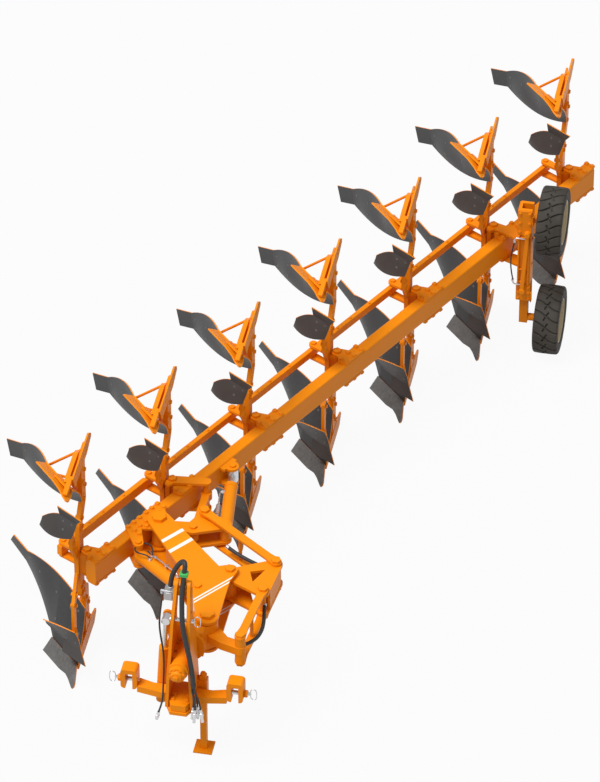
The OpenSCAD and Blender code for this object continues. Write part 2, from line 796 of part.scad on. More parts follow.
// Loop handle of a pin, bent from round wire in the plane of x and z
module loop_handle() {
    for (z = [-28, 28]) translate([-14, 0, z]) rotate([0, 90, 0]) cylinder(r = 4, h = 28, $fn = 16);
    for (x = [-14, 14]) translate([x, 0, -28]) cylinder(r = 4, h = 56, $fn = 16);
    for (x = [-14, 14], z = [-28, 28]) translate([x, 0, z]) sphere(r = 4, $fn = 16);
}

// Lower hitch pins and the top link pin, each with its loop handle
module hitch_pins() {
    clevis_w = clevis_gap + 72;
    color(chrome) {
        for (s = [0, 1]) mirror([s, 0, 0]) translate([hitch_span / 2, 0, hitch_height]) {
            translate([-clevis_w / 2 - 12, 0, 0]) rotate([0, 90, 0])
                cylinder(d = hitch_pin_d, h = clevis_w + 70, $fn = 48);
            translate([clevis_w / 2 + 70, 0, 0]) loop_handle();
        }
        translate([-tower_foot - 16, 0, hitch_height + mast_height]) rotate([0, 90, 0])
            cylinder(d = top_pin_d, h = 2 * tower_foot + 46, $fn = 48);
        translate([tower_foot + 40, 0, hitch_height + mast_height]) loop_handle();
    }
}

// Parking stand, let down to the floor
module parking_stand() {
    at = sleeve_wall + stand_w / 2;
    color(orange) translate([sleeve_x + at, sleeve_y + at, 0]) {
        translate([-stand_w / 2, -stand_w / 2, 6]) cube([stand_w, stand_w, 774]);
        translate([-75, -75, 0]) cube([150, 150, 12]);
        translate([0, 0, 775]) cylinder(r = stand_w / 2 - 4, h = 25, $fn = 32);
    }
}

// Turnover cylinder beside the tower
turn_foot = [-180, 60, 600];
turn_eye = [-140, 64, 1305];
turn_len = 430;
turn_drop = 130;
module turnover_barrel() {
    color(orange) {
        toward(turn_foot, turn_eye) translate([0, 0, -turn_drop])
            cylinder(d = turn_cyl_d, h = turn_len + turn_drop, $fn = 48);
        translate(turn_foot) rotate([0, 90, 0])
            cylinder(r = 30, h = -turn_foot[0] - tower_foot - seat_gap, $fn = 40);
    }
}
module turnover_rod() {
    color(chrome) {
        toward(turn_foot, turn_eye) translate([0, 0, turn_len + seat_gap])
            cylinder(r = 20, h = norm(turn_eye - turn_foot) - turn_len - 20, $fn = 40);
        translate(turn_eye + [0, 48, 0]) rotate([90, 0, 0]) cylinder(r = 34, h = 70, $fn = 48);
    }
}

// Hydraulic cylinder along a line in the mid-plane: bored barrel with a base eye
module in_line(p, q) {
    translate([p[0], p[1], 0]) rotate([0, 0, atan2(q[1] - p[1], q[0] - p[0])]) children();
}
module lying(x, d, h) {
    translate([x, 0, 0]) rotate([0, 90, 0]) cylinder(d = d, h = h, $fn = 56);
}
module barrel(p, q, d, len, rod_d, depth, eye, half) {
    in_line(p, q) difference() {
        union() {
            lying(eye / 2, d, len - eye / 2);
            lying(len - 40, d + 8, 40);
            translate([0, 0, -half]) cylinder(r = eye, h = 2 * half, $fn = 48);
        }
        lying(len - depth, rod_d + 2 * pin_gap, depth + 1);
    }
}
module piston_rod(p, q, d, from, eye, half) {
    v = norm(q - p);
    in_line(p, q) {
        lying(from, d, v - from - eye / 2);
        translate([v, 0, -half]) cylinder(r = eye, h = 2 * half, $fn = 48);
    }
}

// Working width cylinder
width_len = 560;
width_rod_d = 55;
width_inside = 140;
module width_barrel() {
    color(orange) at_mid() difference() {
        barrel(width_eye, width_pin, width_cyl_d, width_len, width_rod_d, width_inside + 20, 46,
            lever_half - lever_t - 3);
        post(width_eye, 20 + pin_gap, -mid_height, mid_height);
    }
}
module width_rod() {
    color(chrome) at_mid()
        piston_rod(width_eye, width_pin, width_rod_d, width_len - width_inside, 44, clevis_z - 4);
}

// Offset cylinder
shift_len = 580;
shift_rod_d = 60;
shift_inside = 180;
shift_stroke = 75;
module shift_barrel() {
    color(orange) at_mid() barrel(shift_pin, shift_eye, shift_cyl_d, shift_len, shift_rod_d,
        shift_inside + shift_stroke, 36, beam_half - 6);
}
module shift_rod() {
    color(chrome) at_mid() difference() {
        piston_rod(shift_pin, shift_eye, shift_rod_d, shift_len - shift_inside, 46, 80);
        post(shift_eye, 20 + pin_gap, -mid_height, mid_height);
    }
}

// Wheel column on the sixth station's plates, with guides for both wheel legs
column_x = station(6)[0] + column_reach;
wheel_x = column_x + column_w / 2 + wheel_gap + tyre_w / 2;
wheel_y = station(6)[1] - column_ahead;
wheel_low = mid_height - tyre_d / 2;
column_half = wheel_low - wheel_up + 5 + column_grip;
guide_w = 70;
axle_r = 32;
module wheel_column() {
    rel = [column_reach, -column_ahead];
    color(orange) at_station(6) difference() {
        union() {
            saddle(rel, 62);
            translate([rel[0] - column_w / 2, rel[1] - 65, -column_half])
                cube([column_w, 130, 2 * column_half]);
        }
        post([0, 0], station_pin_d / 2 + pin_gap, -mid_height, mid_height);
        translate([rel[0] - guide_w / 2 - pin_gap, rel[1] - guide_w / 2 - pin_gap, -mid_height])
            cube([guide_w + 2 * pin_gap, guide_w + 2 * pin_gap, 2 * mid_height]);
        pair() translate([rel[0], rel[1] - axle_r - 3, wheel_up - axle_r - 3])
            cube([column_w, 2 * axle_r + 6, column_half]);
    }
}

// Wheel leg that slides in the column and carries the stub axle
module wheel_leg(drop) {
    translate([0, 0, -drop]) {
        translate([column_x - guide_w / 2, wheel_y - guide_w / 2, -axle_r - 10])
            cube([guide_w, guide_w, wheel_up - 5 + axle_r + 10]);
        translate([column_x, wheel_y, 0]) rotate([0, 90, 0])
            cylinder(r = axle_r, h = wheel_x - column_x + 60, $fn = 40);
    }
}
module wheel_leg_lower() {
    color(orange) at_mid() wheel_leg(wheel_low);
}
module wheel_leg_upper() {
    color(orange) at_mid() mirror([0, 0, 1]) wheel_leg(wheel_up);
}

module on_axle(z) {
    translate([wheel_x, wheel_y, mid_height + z]) rotate([0, 90, 0]) children();
}
module tyre(z) {
    color(rubber) on_axle(z) rotate_extrude($fn = 96) difference() {
        translate([(rim_d + tyre_d) / 4, 0]) round_rect((tyre_d - rim_d) / 2, tyre_w, 16);
        translate([0, -tyre_w]) square([rim_d / 2, 2 * tyre_w]);
    }
}
module rim(z) {
    color(cream) on_axle(z) difference() {
        rotate_extrude($fn = 96) {
            translate([rim_d / 2 - 12, -tyre_w / 2 + 8]) square([12 - seat_gap, tyre_w - 16]);
            translate([axle_r + 1, -8]) square([rim_d / 2 - axle_r - 8, 16]);
            translate([axle_r + 1, -50]) square([34, 110]);
        }
        cylinder(r = axle_r + pin_gap, h = 600, center = true, $fn = 48);
    }
}

headstock();
hitch_arms();
hitch_pins();
parking_stand();
turnover_barrel();
turnover_rod();
turnover_head();
swing_arm();
bell_crank();
head_link();
drag_link();
lever();
guide_link();
guide_plates();
beam();
beam_brackets();
control_bar();
width_barrel();
width_rod();
shift_barrel();
shift_rod();
wheel_column();
wheel_leg_lower();
wheel_leg_upper();
tyre(-wheel_low);  // tyre_lower
rim(-wheel_low);  // rim_lower
tyre(wheel_up);  // tyre_upper
rim(wheel_up);  // rim_upper
for (i = [1:bodies]) {
    leg(i);
    mouldboards(i);
    shares(i);
    skimmers(i);
}
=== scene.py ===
"""Looks of a mounted reversible plough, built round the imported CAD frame.

Metres, +Z up, travel towards -Y.
"""

import json
import math
from functools import partial

import bpy
import numpy as np
from bpy.props import FloatProperty, FloatVectorProperty, IntProperty, PointerProperty
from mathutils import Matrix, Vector


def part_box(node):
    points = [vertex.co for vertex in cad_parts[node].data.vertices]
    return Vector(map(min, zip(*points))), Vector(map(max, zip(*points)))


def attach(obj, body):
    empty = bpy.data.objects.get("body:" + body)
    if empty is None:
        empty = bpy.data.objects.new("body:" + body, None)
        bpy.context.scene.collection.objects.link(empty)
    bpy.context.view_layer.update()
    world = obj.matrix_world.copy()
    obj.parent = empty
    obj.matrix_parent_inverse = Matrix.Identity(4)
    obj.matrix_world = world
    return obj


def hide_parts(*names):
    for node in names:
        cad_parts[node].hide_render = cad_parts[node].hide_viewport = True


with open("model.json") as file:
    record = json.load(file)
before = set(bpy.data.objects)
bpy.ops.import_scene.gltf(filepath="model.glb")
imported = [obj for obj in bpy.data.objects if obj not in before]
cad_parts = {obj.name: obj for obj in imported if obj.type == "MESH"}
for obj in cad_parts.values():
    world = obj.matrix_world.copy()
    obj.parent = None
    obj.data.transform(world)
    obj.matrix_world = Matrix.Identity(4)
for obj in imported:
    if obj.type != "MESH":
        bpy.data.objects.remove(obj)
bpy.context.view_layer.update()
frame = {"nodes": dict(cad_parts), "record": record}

bl_info = {
    "name": "Reversible Plough Looks",
    "version": (1, 1, 0),
    "blender": (4, 5, 0),
    "location": "3D View > Sidebar > Plough",
    "description": "Paint, worn steel, tyres, hoses and a studio stage for a mounted reversible plough",
    "category": "Object",
}

# The frame in metres: the mid-plane's height, the beam's way from above, its pivot and the first station
BODIES = range(1, 8)
MM = 0.001
MID = 1.0
BEAM_TURN = math.radians(28.0)
ALONG = np.array([math.sin(BEAM_TURN), math.cos(BEAM_TURN)])
ACROSS = np.array([math.cos(BEAM_TURN), -math.sin(BEAM_TURN)])
BODY_SPACING = 1.050
BEAM_ACROSS = 0.110
PIVOT_ALONG = 0.610
PIVOT = np.array([-0.480, 1.383])
STATION_1 = PIVOT - ALONG * PIVOT_ALONG - ACROSS * 0.230
UP = np.array([0.0, 0.0, 1.0])

# Direction across which the swing arm's bands lie, and each pair's start, line width and gap
ARM_ACROSS = np.array([0.785, -0.620]) / math.hypot(0.785, 0.620)
ARM_BANDS = ((-1.026, 0.034, 0.098), (-0.328, 0.013, 0.014))


class Val:
    """A shader socket that takes part in Python sums and products; each operation adds one Math node."""

    def __init__(self, kit, socket):
        self.kit, self.socket = kit, socket

    def _math(self, operation, a, b):
        return self.kit.node("ShaderNodeMath", {"operation": operation}, {0: a, 1: b})

    def __add__(self, other):
        return self._math("ADD", self, other)

    def __sub__(self, other):
        return self._math("SUBTRACT", self, other)

    def __rsub__(self, other):
        return self._math("SUBTRACT", other, self)

    def __mul__(self, other):
        return self._math("MULTIPLY", self, other)

    def __gt__(self, other):
        return self._math("GREATER_THAN", self, other)

    def __lt__(self, other):
        return self._math("LESS_THAN", self, other)

    __radd__ = __add__
    __rmul__ = __mul__


class Paint:
    def __init__(self, name):
        self.mat = bpy.data.materials.get(name) or bpy.data.materials.new(name)
        self.mat.use_nodes = True
        self.tree = self.mat.node_tree
        self.tree.nodes.clear()

    def node(self, kind, settings=None, inputs=None, out=0):
        n = self.tree.nodes.new(kind)
        for key, value in (settings or {}).items():
            if key == "stops":
                ramp = n.color_ramp
                while len(ramp.elements) < len(value):
                    ramp.elements.new(0.5)
                for element, (place, colour) in zip(ramp.elements, value):
                    element.position = place
                    element.color = (*colour, 1.0)
            else:
                setattr(n, key, value)
        for key, value in (inputs or {}).items():
            if isinstance(value, Val):
                self.tree.links.new(value.socket, n.inputs[key])
            else:
                n.inputs[key].default_value = value
        return Val(self, n.outputs[out])

    def mix(self, factor, a, b):
        """Colour a where factor is 0 and b where it is 1."""
        wide = lambda c: c if isinstance(c, Val) else (*c, 1.0)
        return self.node("ShaderNodeMix", {"data_type": "RGBA"}, {0: factor, 6: wide(a), 7: wide(b)}, out=2)

    def place(self):
        return self.node("ShaderNodeTexCoord", out="Object")

    def dot(self, vector, direction):
        settings = {"operation": "DOT_PRODUCT"}
        return self.node("ShaderNodeVectorMath", settings, {0: vector, 1: direction}, out="Value")

    def facing(self, direction):
        """Cosine between the piece's own surface normal and a direction."""
        return self.dot(self.node("ShaderNodeTexCoord", out="Normal"), direction)

    def along(self, direction):
        """Distance of a point from the origin along a direction."""
        return self.dot(self.place(), direction)

    def noise(self, scale, detail=3.0):
        inputs = {"Vector": self.place(), "Scale": scale, "Detail": detail}
        return self.node("ShaderNodeTexNoise", None, inputs)

    def grain(self, height, strength, distance=0.0006):
        inputs = {"Strength": strength, "Distance": distance, "Height": height}
        return self.node("ShaderNodeBump", None, inputs)

    def ramp(self, value, *stops):
        return self.node("ShaderNodeValToRGB", {"stops": [(p, (g, g, g)) for p, g in stops]}, {0: value})

    def finish(self, **sockets):
        shader = self.tree.nodes.new("ShaderNodeBsdfPrincipled")
        end = self.tree.nodes.new("ShaderNodeOutputMaterial")
        self.tree.links.new(shader.outputs[0], end.inputs[0])
        for key, value in sockets.items():
            socket = shader.inputs[key.replace("_", " ").title().replace("Ior", "IOR")]
            if isinstance(value, Val):
                self.tree.links.new(value.socket, socket)
            else:
                socket.default_value = (*value, 1.0) if isinstance(value, (tuple, list)) else value
        return self.mat


def look():
    return bpy.context.scene.plough_colours


def sizes():
    return bpy.context.scene.plough_sizes


def shade(colour, factor):
    return tuple(min(1.0, c * factor) for c in colour)


def enamel(kit, base):
    """Paint with soft large patches, fine orange peel and a roughness that changes a little."""
    patch = kit.noise(1.8)
    colour = kit.mix(patch * 0.8, shade(base, 1.04), shade(base, 0.88))
    peel = kit.grain(kit.noise(160.0, 2.0), 0.05)
    gloss = kit.noise(7.0) * 0.12 + 0.36
    return dict(base_color=colour, roughness=gloss, specular_ior_level=0.14, normal=peel)


def mottled(name, dark, light, patches, gloss, grit=None, **constants):
    """Two shades and a roughness that follow one noise; grit is a fine bump's scale, detail and strength."""
    kit = Paint(name)
    patch = kit.noise(*patches)
    if grit:
        constants["normal"] = kit.grain(kit.noise(*grit[:2]), grit[2])
    shades = kit.mix(patch, dark, light)
    return kit.finish(base_color=shades, roughness=patch * gloss[0] + gloss[1], **constants)


def orange_enamel():
    """Orange enamel of frame, legs and linkage."""
    kit = Paint("orange_enamel")
    return kit.finish(**enamel(kit, tuple(look().orange)))


def arm_enamel():
    """Orange enamel with a pair of white bands and a pale field between them at each end of the swing arm."""
    kit = Paint("arm_enamel")
    sockets = enamel(kit, tuple(look().orange))
    colour = sockets["base_color"]
    upright = kit.facing((0.0, 0.0, 1.0))
    plate = (upright > 0.9) + (upright < -0.9)
    way = kit.along((*ARM_ACROSS, 0.0))
    for start, line, gap in ARM_BANDS:
        away = way - start
        field = plate * (away > 0.0) * (away < 2 * line + gap)
        lines = (away < line) + (away > line + gap)
        colour = kit.mix(field * (away * 2.2), colour, shade(tuple(look().orange), 1.5))
        colour = kit.mix(field * lines, colour, tuple(look().band))
    sockets["base_color"] = colour
    return kit.finish(**sockets)


def mould_coat():
    """Charcoal coat on the working face of a mouldboard, a little rubbed."""
    kit = Paint("mould_coat")
    base = tuple(look().mouldboard)
    patch = kit.noise(5.0, 5.0)
    rubbed = kit.ramp(kit.noise(28.0, 6.0), (0.45, 0.0), (0.75, 1.0))
    colour = kit.mix(rubbed * 0.35, kit.mix(patch, base, shade(base, 1.35)), shade(base, 1.9))
    return kit.finish(base_color=colour, roughness=patch * 0.15 + 0.42,
                      normal=kit.grain(kit.noise(220.0), 0.06))


def share_steel():
    """Forged steel of the shares, scoured along the way the soil takes."""
    kit = Paint("share_steel")
    base = tuple(look().share)
    patch = kit.noise(9.0, 6.0)
    scour = kit.ramp(kit.noise(34.0, 5.0), (0.45, 0.0), (0.75, 1.0))
    colour = kit.mix(scour * 0.4, kit.mix(patch, shade(base, 0.75), shade(base, 1.15)), shade(base, 1.6))
    return kit.finish(base_color=colour, roughness=patch * 0.2 + 0.36, metallic=0.2, specular_ior_level=0.35,
                      normal=kit.grain(kit.noise(120.0, 4.0), 0.1, 0.0008))


def skimmer_coat():
    """Dark brown coat on the face of the skimmers."""
    base = tuple(look().skimmer)
    dark, light = shade(base, 0.75), shade(base, 1.2)
    return mottled("skimmer_coat", dark, light, (8.0, 5.0), (0.15, 0.42), (200.0, 3.0, 0.06))


def bright_steel():
    """Plated pins, piston rods and couplings with fine scratches."""
    dark, light = (0.60, 0.60, 0.61), (0.76, 0.77, 0.78)
    return mottled("bright_steel", dark, light, (60.0, 6.0), (0.2, 0.18), metallic=0.85)


def tyre_rubber():
    """Matt dark rubber with dust in large patches."""
    kit = Paint("tyre_rubber")
    base = tuple(look().rubber)
    dust = kit.ramp(kit.noise(6.0, 6.0), (0.35, 0.0), (0.8, 1.0))
    return kit.finish(base_color=kit.mix(dust, base, shade(base, 1.9)), roughness=dust * 0.1 + 0.7,
                      specular_ior_level=0.3, normal=kit.grain(kit.noise(260.0, 2.0), 0.12, 0.0008))


def rim_cream():
    """Cream enamel of the wheel rims."""
    kit = Paint("rim_cream")
    return kit.finish(**enamel(kit, tuple(look().rim)))


def hose_rubber():
    """Black hose with a fine woven print of its braid."""
    base = tuple(look().hose)
    return mottled("hose_rubber", base, shade(base, 1.7), (90.0, 3.0), (0.2, 0.45), (420.0, 2.0, 0.15))


def valve_metal():
    """Plated valve block with a cast skin."""
    dark, light = (0.36, 0.36, 0.37), (0.52, 0.52, 0.53)
    return mottled("valve_metal", dark, light, (40.0, 5.0), (0.2, 0.32), (180.0, 3.0, 0.06), metallic=0.7)


def clamp_plastic():
    """Green moulded plastic of the hose clamp."""
    green = tuple(look().clamp)
    return mottled("clamp_plastic", shade(green, 0.8), green, (30.0, 4.0), (0.2, 0.35), (240.0, 3.0, 0.08))


FINISHES = {
    "orange_paint": orange_enamel,
    "mouldboard_steel": mould_coat,
    "share_steel": share_steel,
    "skimmer_steel": skimmer_coat,
    "bright_steel": bright_steel,
    "tyre_rubber": tyre_rubber,
    "rim_paint": rim_cream,
}
OWN_FINISHES = {"swing_arm": arm_enamel}


def station(i):
    return STATION_1 + ALONG * BODY_SPACING * (i - 1)


def on_beam(along, across, z):
    """Points given by their distances along and across the beam and their height over its mid-plane."""
    along, across, z = np.broadcast_arrays(*(np.asarray(c, float) for c in (along, across, z)))
    flat = STATION_1 + along[..., None] * ALONG + across[..., None] * ACROSS
    return np.concatenate([flat, MID + z[..., None]], -1)


def unit(v):
    return v / np.linalg.norm(v, axis=-1, keepdims=True)


def lerp(a, b, t):
    return np.asarray(a, float) + (np.asarray(b, float) - np.asarray(a, float)) * np.asarray(t)[..., None]


def bezier(a, b, c, t):
    a, b, c = (np.asarray(point, float) for point in (a, b, c))
    t = np.asarray(t, float)[..., None]
    return a * (1 - t) ** 2 + b * 2 * t * (1 - t) + c * t * t


def mirrored(points, upper):
    """Points of a lower body, or their mirror image over the mid-plane for an upper one."""
    return points * (1, 1, -1) + (0, 0, 2 * MID) if upper else points


def grid(rows, columns, wrap_rows=False, wrap_columns=False):
    """Quads over points stored row by row; a wrapped direction joins its end to its start."""
    r = np.arange(rows if wrap_rows else rows - 1)
    c = np.arange(columns if wrap_columns else columns - 1)
    r, c = np.meshgrid(r, c, indexing="ij")
    at = lambda i, j: (i % rows) * columns + j % columns
    return np.stack([at(r, c), at(r, c + 1), at(r + 1, c + 1), at(r + 1, c)], -1).reshape(-1, 4)


class Solid:
    """Points and faces that are gathered from several surfaces and made into one piece."""

    def __init__(self):
        self.points, self.faces, self.which, self.count = [], [], [], 0

    def add(self, points, faces, finish=0):
        points = np.asarray(points, float).reshape(-1, 3)
        for group, which in zip(faces, np.broadcast_to(finish, len(faces)).tolist()):
            group = np.asarray(group) + self.count
            self.faces += group.tolist()
            self.which += [which] * len(group)
        self.points.append(points)
        self.count += len(points)

    def piece(self, name, body, slot, *materials, sharp=40.0):
        mesh = bpy.data.meshes.new(name)
        mesh.from_pydata(np.concatenate(self.points).tolist(), [], self.faces)
        for material in materials:
            mesh.materials.append(material)
        mesh.polygons.foreach_set("material_index", np.asarray(self.which, np.int32))
        mesh.shade_smooth()
        mesh.set_sharp_from_angle(angle=math.radians(sharp))
        mesh.update()
        made = bpy.data.objects.new(name, mesh)
        bpy.context.scene.collection.objects.link(made)
        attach(made, body)
        return made


def shell(solid, front, back, upper):
    """Closed plate between two grids of points, its front coated and its back and rim painted.

    The front looks along the cross product of its column and row steps.
    """
    rows, columns = front.shape[:2]
    n = rows * columns
    faces = grid(rows, columns)
    at = np.arange(n).reshape(rows, columns)
    loop = np.concatenate([at[0], at[1:, -1], at[-1, -2::-1], at[-2:0:-1, 0]])
    following = np.roll(loop, -1)
    rim = np.stack([following, loop, loop + n, following + n], -1)
    points = mirrored(np.concatenate([front.reshape(-1, 3), back.reshape(-1, 3)]), upper)
    order = -1 if upper else 1
    groups = [group[:, ::order] for group in (faces, faces[:, ::-1] + n, rim)]
    solid.add(points, groups, (0, 1, 1))


# Mouldboard, in millimetres from the station pin and the floor: along the share, then out to the wing
SHIN_X, JOINT_X, JOINT_Y = -44.0, -640.0, 570.0
SHIN_Z, CROWN_Z, WING_Z = 437.0, 565.0, 380.0
SHARE_TURN, SHARE_SLOPE = math.radians(43.0), math.radians(38.0)
SHARE_W, SHARE_T, SHARE_LEN = 125.0, 12.0, 372.0
SEAM_GAP, SEAM_LAP, SWELL = -3.0, 11.0, 29.0
BOARD_T, LEAF_T = 10.0, 8.0
EDGE = np.array([-math.sin(SHARE_TURN), math.cos(SHARE_TURN)])
BACK = np.array([math.cos(SHARE_TURN), math.sin(SHARE_TURN)])
SHARE_NOSE = np.array([-130.0, -291.0])
SEAM = SHARE_NOSE + BACK * (SHARE_W * math.cos(SHARE_SLOPE) + SEAM_GAP)
SEAM_Z = SHARE_W * math.sin(SHARE_SLOPE) + SHARE_T * math.cos(SHARE_SLOPE) - SEAM_LAP
SEAM_U = 5.0 / 12.0
LOW_FOOT = np.array([*(SEAM - EDGE * (SHIN_X - SEAM[0]) / math.sin(SHARE_TURN)), SEAM_Z])
LOW_START = np.array([*(SEAM + EDGE * SHARE_LEN), SEAM_Z])
LOW_JOINT = np.array([JOINT_X - 10, JOINT_Y + 20, WING_Z])
WING_PULL = LOW_START + (LOW_JOINT - LOW_START) * (0.47, 0.71, 0.39)
MOULD_AHEAD = np.array([-0.69, -0.66, 0.30])
TAIL_LOW = np.array([JOINT_X - 165, JOINT_Y + 150, WING_Z + 86])
TAIL_TOP = np.array([JOINT_X - 122, JOINT_Y + 82, WING_Z + 200])


def mould(u, v):
    """Quadratic curve in v from the lower edge over a pulled-back middle to the crown, for each u along the
    board, with a slight swell in front of the stays."""
    low = np.where((u < SEAM_U)[..., None], lerp(LOW_FOOT, LOW_START, u / SEAM_U),
                   bezier(LOW_START, WING_PULL, LOW_JOINT, (u - SEAM_U) / (1 - SEAM_U)))
    end_z = CROWN_Z - 50
    top_z = bezier([SHIN_Z], [2 * CROWN_Z - (SHIN_Z + end_z) / 2], [end_z], u)
    top = np.concatenate([lerp([SHIN_X, 54.0], [JOINT_X + 12, JOINT_Y - 16], u), top_z], -1)
    pull = np.stack([1 - u / 2, 1 - u / 2, 0.7 - 0.2 * u], -1)
    swell = SWELL * 4 * v * (1 - v) * np.sin(math.pi * np.clip((u - 0.45) / 0.6, 0, 1)) ** 2
    return bezier(low, low + (top - low) * pull, top, v) + swell[..., None] * MOULD_AHEAD


# Outline of a share in its own plane: along the cutting edge from the nose, and up the slope
SHARE_FRONT = np.array([(360, 0), (0, 0), (-70, -20), (-148, -45), (-160, -46)], float)
SHARE_REAR = np.array([(384, 125), (0, 125), (-24, 121), (-150, -2), (-165, -26)], float)
SHARE_KNOTS = np.array([0.0, 0.58, 0.72, 0.94, 1.0])
POINT_BEND, POINT_RISE, POINT_TOP, POINT_DROOP = 103.0, 0.235, -70.0, 0.07
FADE_FROM, FADE_OVER, FADE_BY = 102.0, 23.0, 0.85


def share(u, v):
    """Ruled plate between cutting edge and upper edge, tipped by the share's slope, whose front rises towards
    the point from a bend across the blade; the rise fades at the seam with the mouldboard."""
    edge = lambda rows: np.stack([np.interp(u, SHARE_KNOTS, rows[:, k]) for k in (0, 1)], -1)
    flat = edge(SHARE_FRONT) + (edge(SHARE_REAR) - edge(SHARE_FRONT)) * v[..., None]
    s, w = flat[..., 0], flat[..., 1]
    rise = POINT_RISE * np.clip(POINT_BEND - np.maximum(s, POINT_TOP), 0, None)
    rise = rise + POINT_DROOP * np.minimum(s - POINT_TOP, 0)
    rise = rise * (1 - FADE_BY * np.clip((w - FADE_FROM) / FADE_OVER, 0, 1))
    out = w * math.cos(SHARE_SLOPE) - SHARE_T * math.sin(SHARE_SLOPE)
    ground = SHARE_NOSE + EDGE * s[..., None] + BACK * out[..., None]
    height = 1 + w * math.sin(SHARE_SLOPE) + SHARE_T * math.cos(SHARE_SLOPE) + rise
    return np.concatenate([ground, height[..., None]], -1)


# Skimmer, in millimetres from the station pin and the floor: seam with its share, share's edge, and boss
SKIM_SEAM = np.array([[4.0, -325.0, 340.0], [-158.0, -221.0, 343.0]])
SKIM_TIP, SKIM_HEEL = np.array([55.0, -400.0, 235.0]), np.array([-164.0, -258.0, 235.0])
SKIM_SEAT, SKIM_AHEAD = np.array([-56.0, -268.0, 363.0]), np.array([-0.321, -0.901, 0.293])


def skim(u, v):
    """Leaf of a skimmer: straight along its share, then rising to its end, bowed from lower to upper edge."""
    low = np.where((u < 0.5)[..., None], lerp(SKIM_SEAM[0], SKIM_SEAM[1], 2 * u),
                   bezier(SKIM_SEAM[1], [-240.0, -183.0, 366.0], [-310.0, -172.0, 438.0], 2 * u - 1))
    top = bezier([-44.0, -315.0, 505.0], [-222.0, -300.0, 566.0], [-326.0, -204.0, 496.0], u)
    middle = (low + top) / 2 + np.array([5.0, 30.0, 0.0]) * (1 - u / 3)[..., None]
    return bezier(low, middle, top, v)


def with_back(surface, u, v, thickness):
    """A surface's points and those one thickness behind them, along the cross product of its two slopes."""
    e = 0.01
    du = surface(np.minimum(1, u + e), v) - surface(np.maximum(0, u - e), v)
    dv = surface(u, np.minimum(1, v + e)) - surface(u, np.maximum(0, v - e))
    front = surface(u, v)
    return front, front - unit(np.cross(dv, du)) * thickness


def mesh_uv(rows, columns):
    return np.meshgrid(np.linspace(0, 1, rows), np.linspace(0, 1, columns), indexing="ij")


def at_station(points, i):
    return points * MM + np.array([*station(i), 0.0])


def sweep(solid, path, radius, sides=16):
    """Circle carried along a path; radius is one number, or one for each ring and side; ends are closed."""
    tangent = unit(np.gradient(path, axis=0))
    side = unit(np.cross([0.0, 1.0, 0.0], tangent))
    other = np.cross(tangent, side)
    turn = np.arange(sides) * 2 * math.pi / sides
    ring = side[:, None] * np.cos(turn)[:, None] + other[:, None] * np.sin(turn)[:, None]
    radius = np.broadcast_to(radius, (len(path), sides))
    solid.add(path[:, None] + ring * radius[..., None], tube_faces(len(path), sides))


def tube_faces(rings, sides):
    """Faces of a tube whose rings are stored one after another, with a flat face at both ends."""
    ring = np.arange(sides)
    skin = grid(rings, sides, wrap_columns=True)[:, ::-1]
    return [skin, ring[None, ::-1], ((rings - 1) * sides + ring)[None]]


def lathe(solid, start, axis, profile, sides=32, finish=0):
    """Profile of (distance, radius) pairs turned round an axis from a start point, closed at both ends."""
    axis = unit(np.asarray(axis, float))
    side = unit(np.cross(axis, [0.31, 0.92, 0.24]))
    other = np.cross(axis, side)
    turn = np.arange(sides) * 2 * math.pi / sides
    ring = side * np.cos(turn)[:, None] + other * np.sin(turn)[:, None]
    profile = np.asarray(profile, float)
    step, radius = profile.T[..., None, None]
    points = np.asarray(start, float) + step * axis + ring * radius
    solid.add(points, tube_faces(len(profile), sides), finish)


def bar(solid, start, end, wide, width, depth, bevel):
    """Straight bar with bevelled edges: an eight-cornered outline along a line, drawn in at both ends."""
    start, end = np.asarray(start, float), np.asarray(end, float)
    way = unit(end - start)
    side = unit(np.asarray(wide, float) - way * np.dot(wide, way))
    other = np.cross(way, side)
    reach = np.linalg.norm(end - start)
    inset = np.array([bevel, 0, 0, bevel])[:, None]
    x, y = width / 2 - inset, depth / 2 - inset
    cut = np.maximum(bevel - inset, bevel * 0.4)
    across = np.concatenate([x, x, x - cut, cut - x, -x, -x, cut - x, x - cut], 1)
    along = np.concatenate([cut - y, y - cut, y, y, y - cut, cut - y, -y, -y], 1)
    step = np.array([0, bevel, reach - bevel, reach])[:, None, None]
    points = start + way * step + side * across[..., None] + other * along[..., None]
    ends = [np.arange(8)[None, ::-1], (24 + np.arange(8))[None]]
    solid.add(points, [grid(4, 8, wrap_columns=True), *ends])


def block(solid, low, high, bevel):
    """Upright bar between two corners given in millimetres."""
    low, high = np.asarray(low, float) * MM, np.asarray(high, float) * MM
    mid = (low + high) / 2
    bar(solid, (*mid[:2], low[2]), (*mid[:2], high[2]), (1, 0, 0), *(high - low)[:2], bevel * MM)


def through(route, count):
    """Curve through the points of a route, each piece a cubic whose slopes come from its neighbours, spread
    evenly along its length and eased twice by a running mean that holds both ends."""
    route = np.asarray(route, float) * MM
    n = len(route) - 1
    s = np.minimum(np.linspace(0, n, count * 4), n - 1e-6)
    i = s.astype(int)
    f = (s - i)[:, None]
    a, b, c, d = (route[np.clip(i + k, 0, n)] for k in (-1, 0, 1, 2))
    square, cube = a * 2 - b * 5 + c * 4 - d, b * 3 - a - c * 3 + d
    path = b + (c - a) * f / 2 + square * f ** 2 / 2 + cube * f ** 3 / 2
    reach = count // 24
    window = np.ones(2 * reach + 1) / (2 * reach + 1)
    for _ in range(2):
        run = distances(path)
        path = np.stack([np.interp(np.linspace(0, run[-1], count), run, axis) for axis in path.T], -1)
        first, last = 2 * path[0] - path[reach:0:-1], 2 * path[-1] - path[-2:-reach - 2:-1]
        held = np.concatenate([first, path, last])
        path = np.stack([np.convolve(axis, window, "valid") for axis in held.T], -1)
    return path


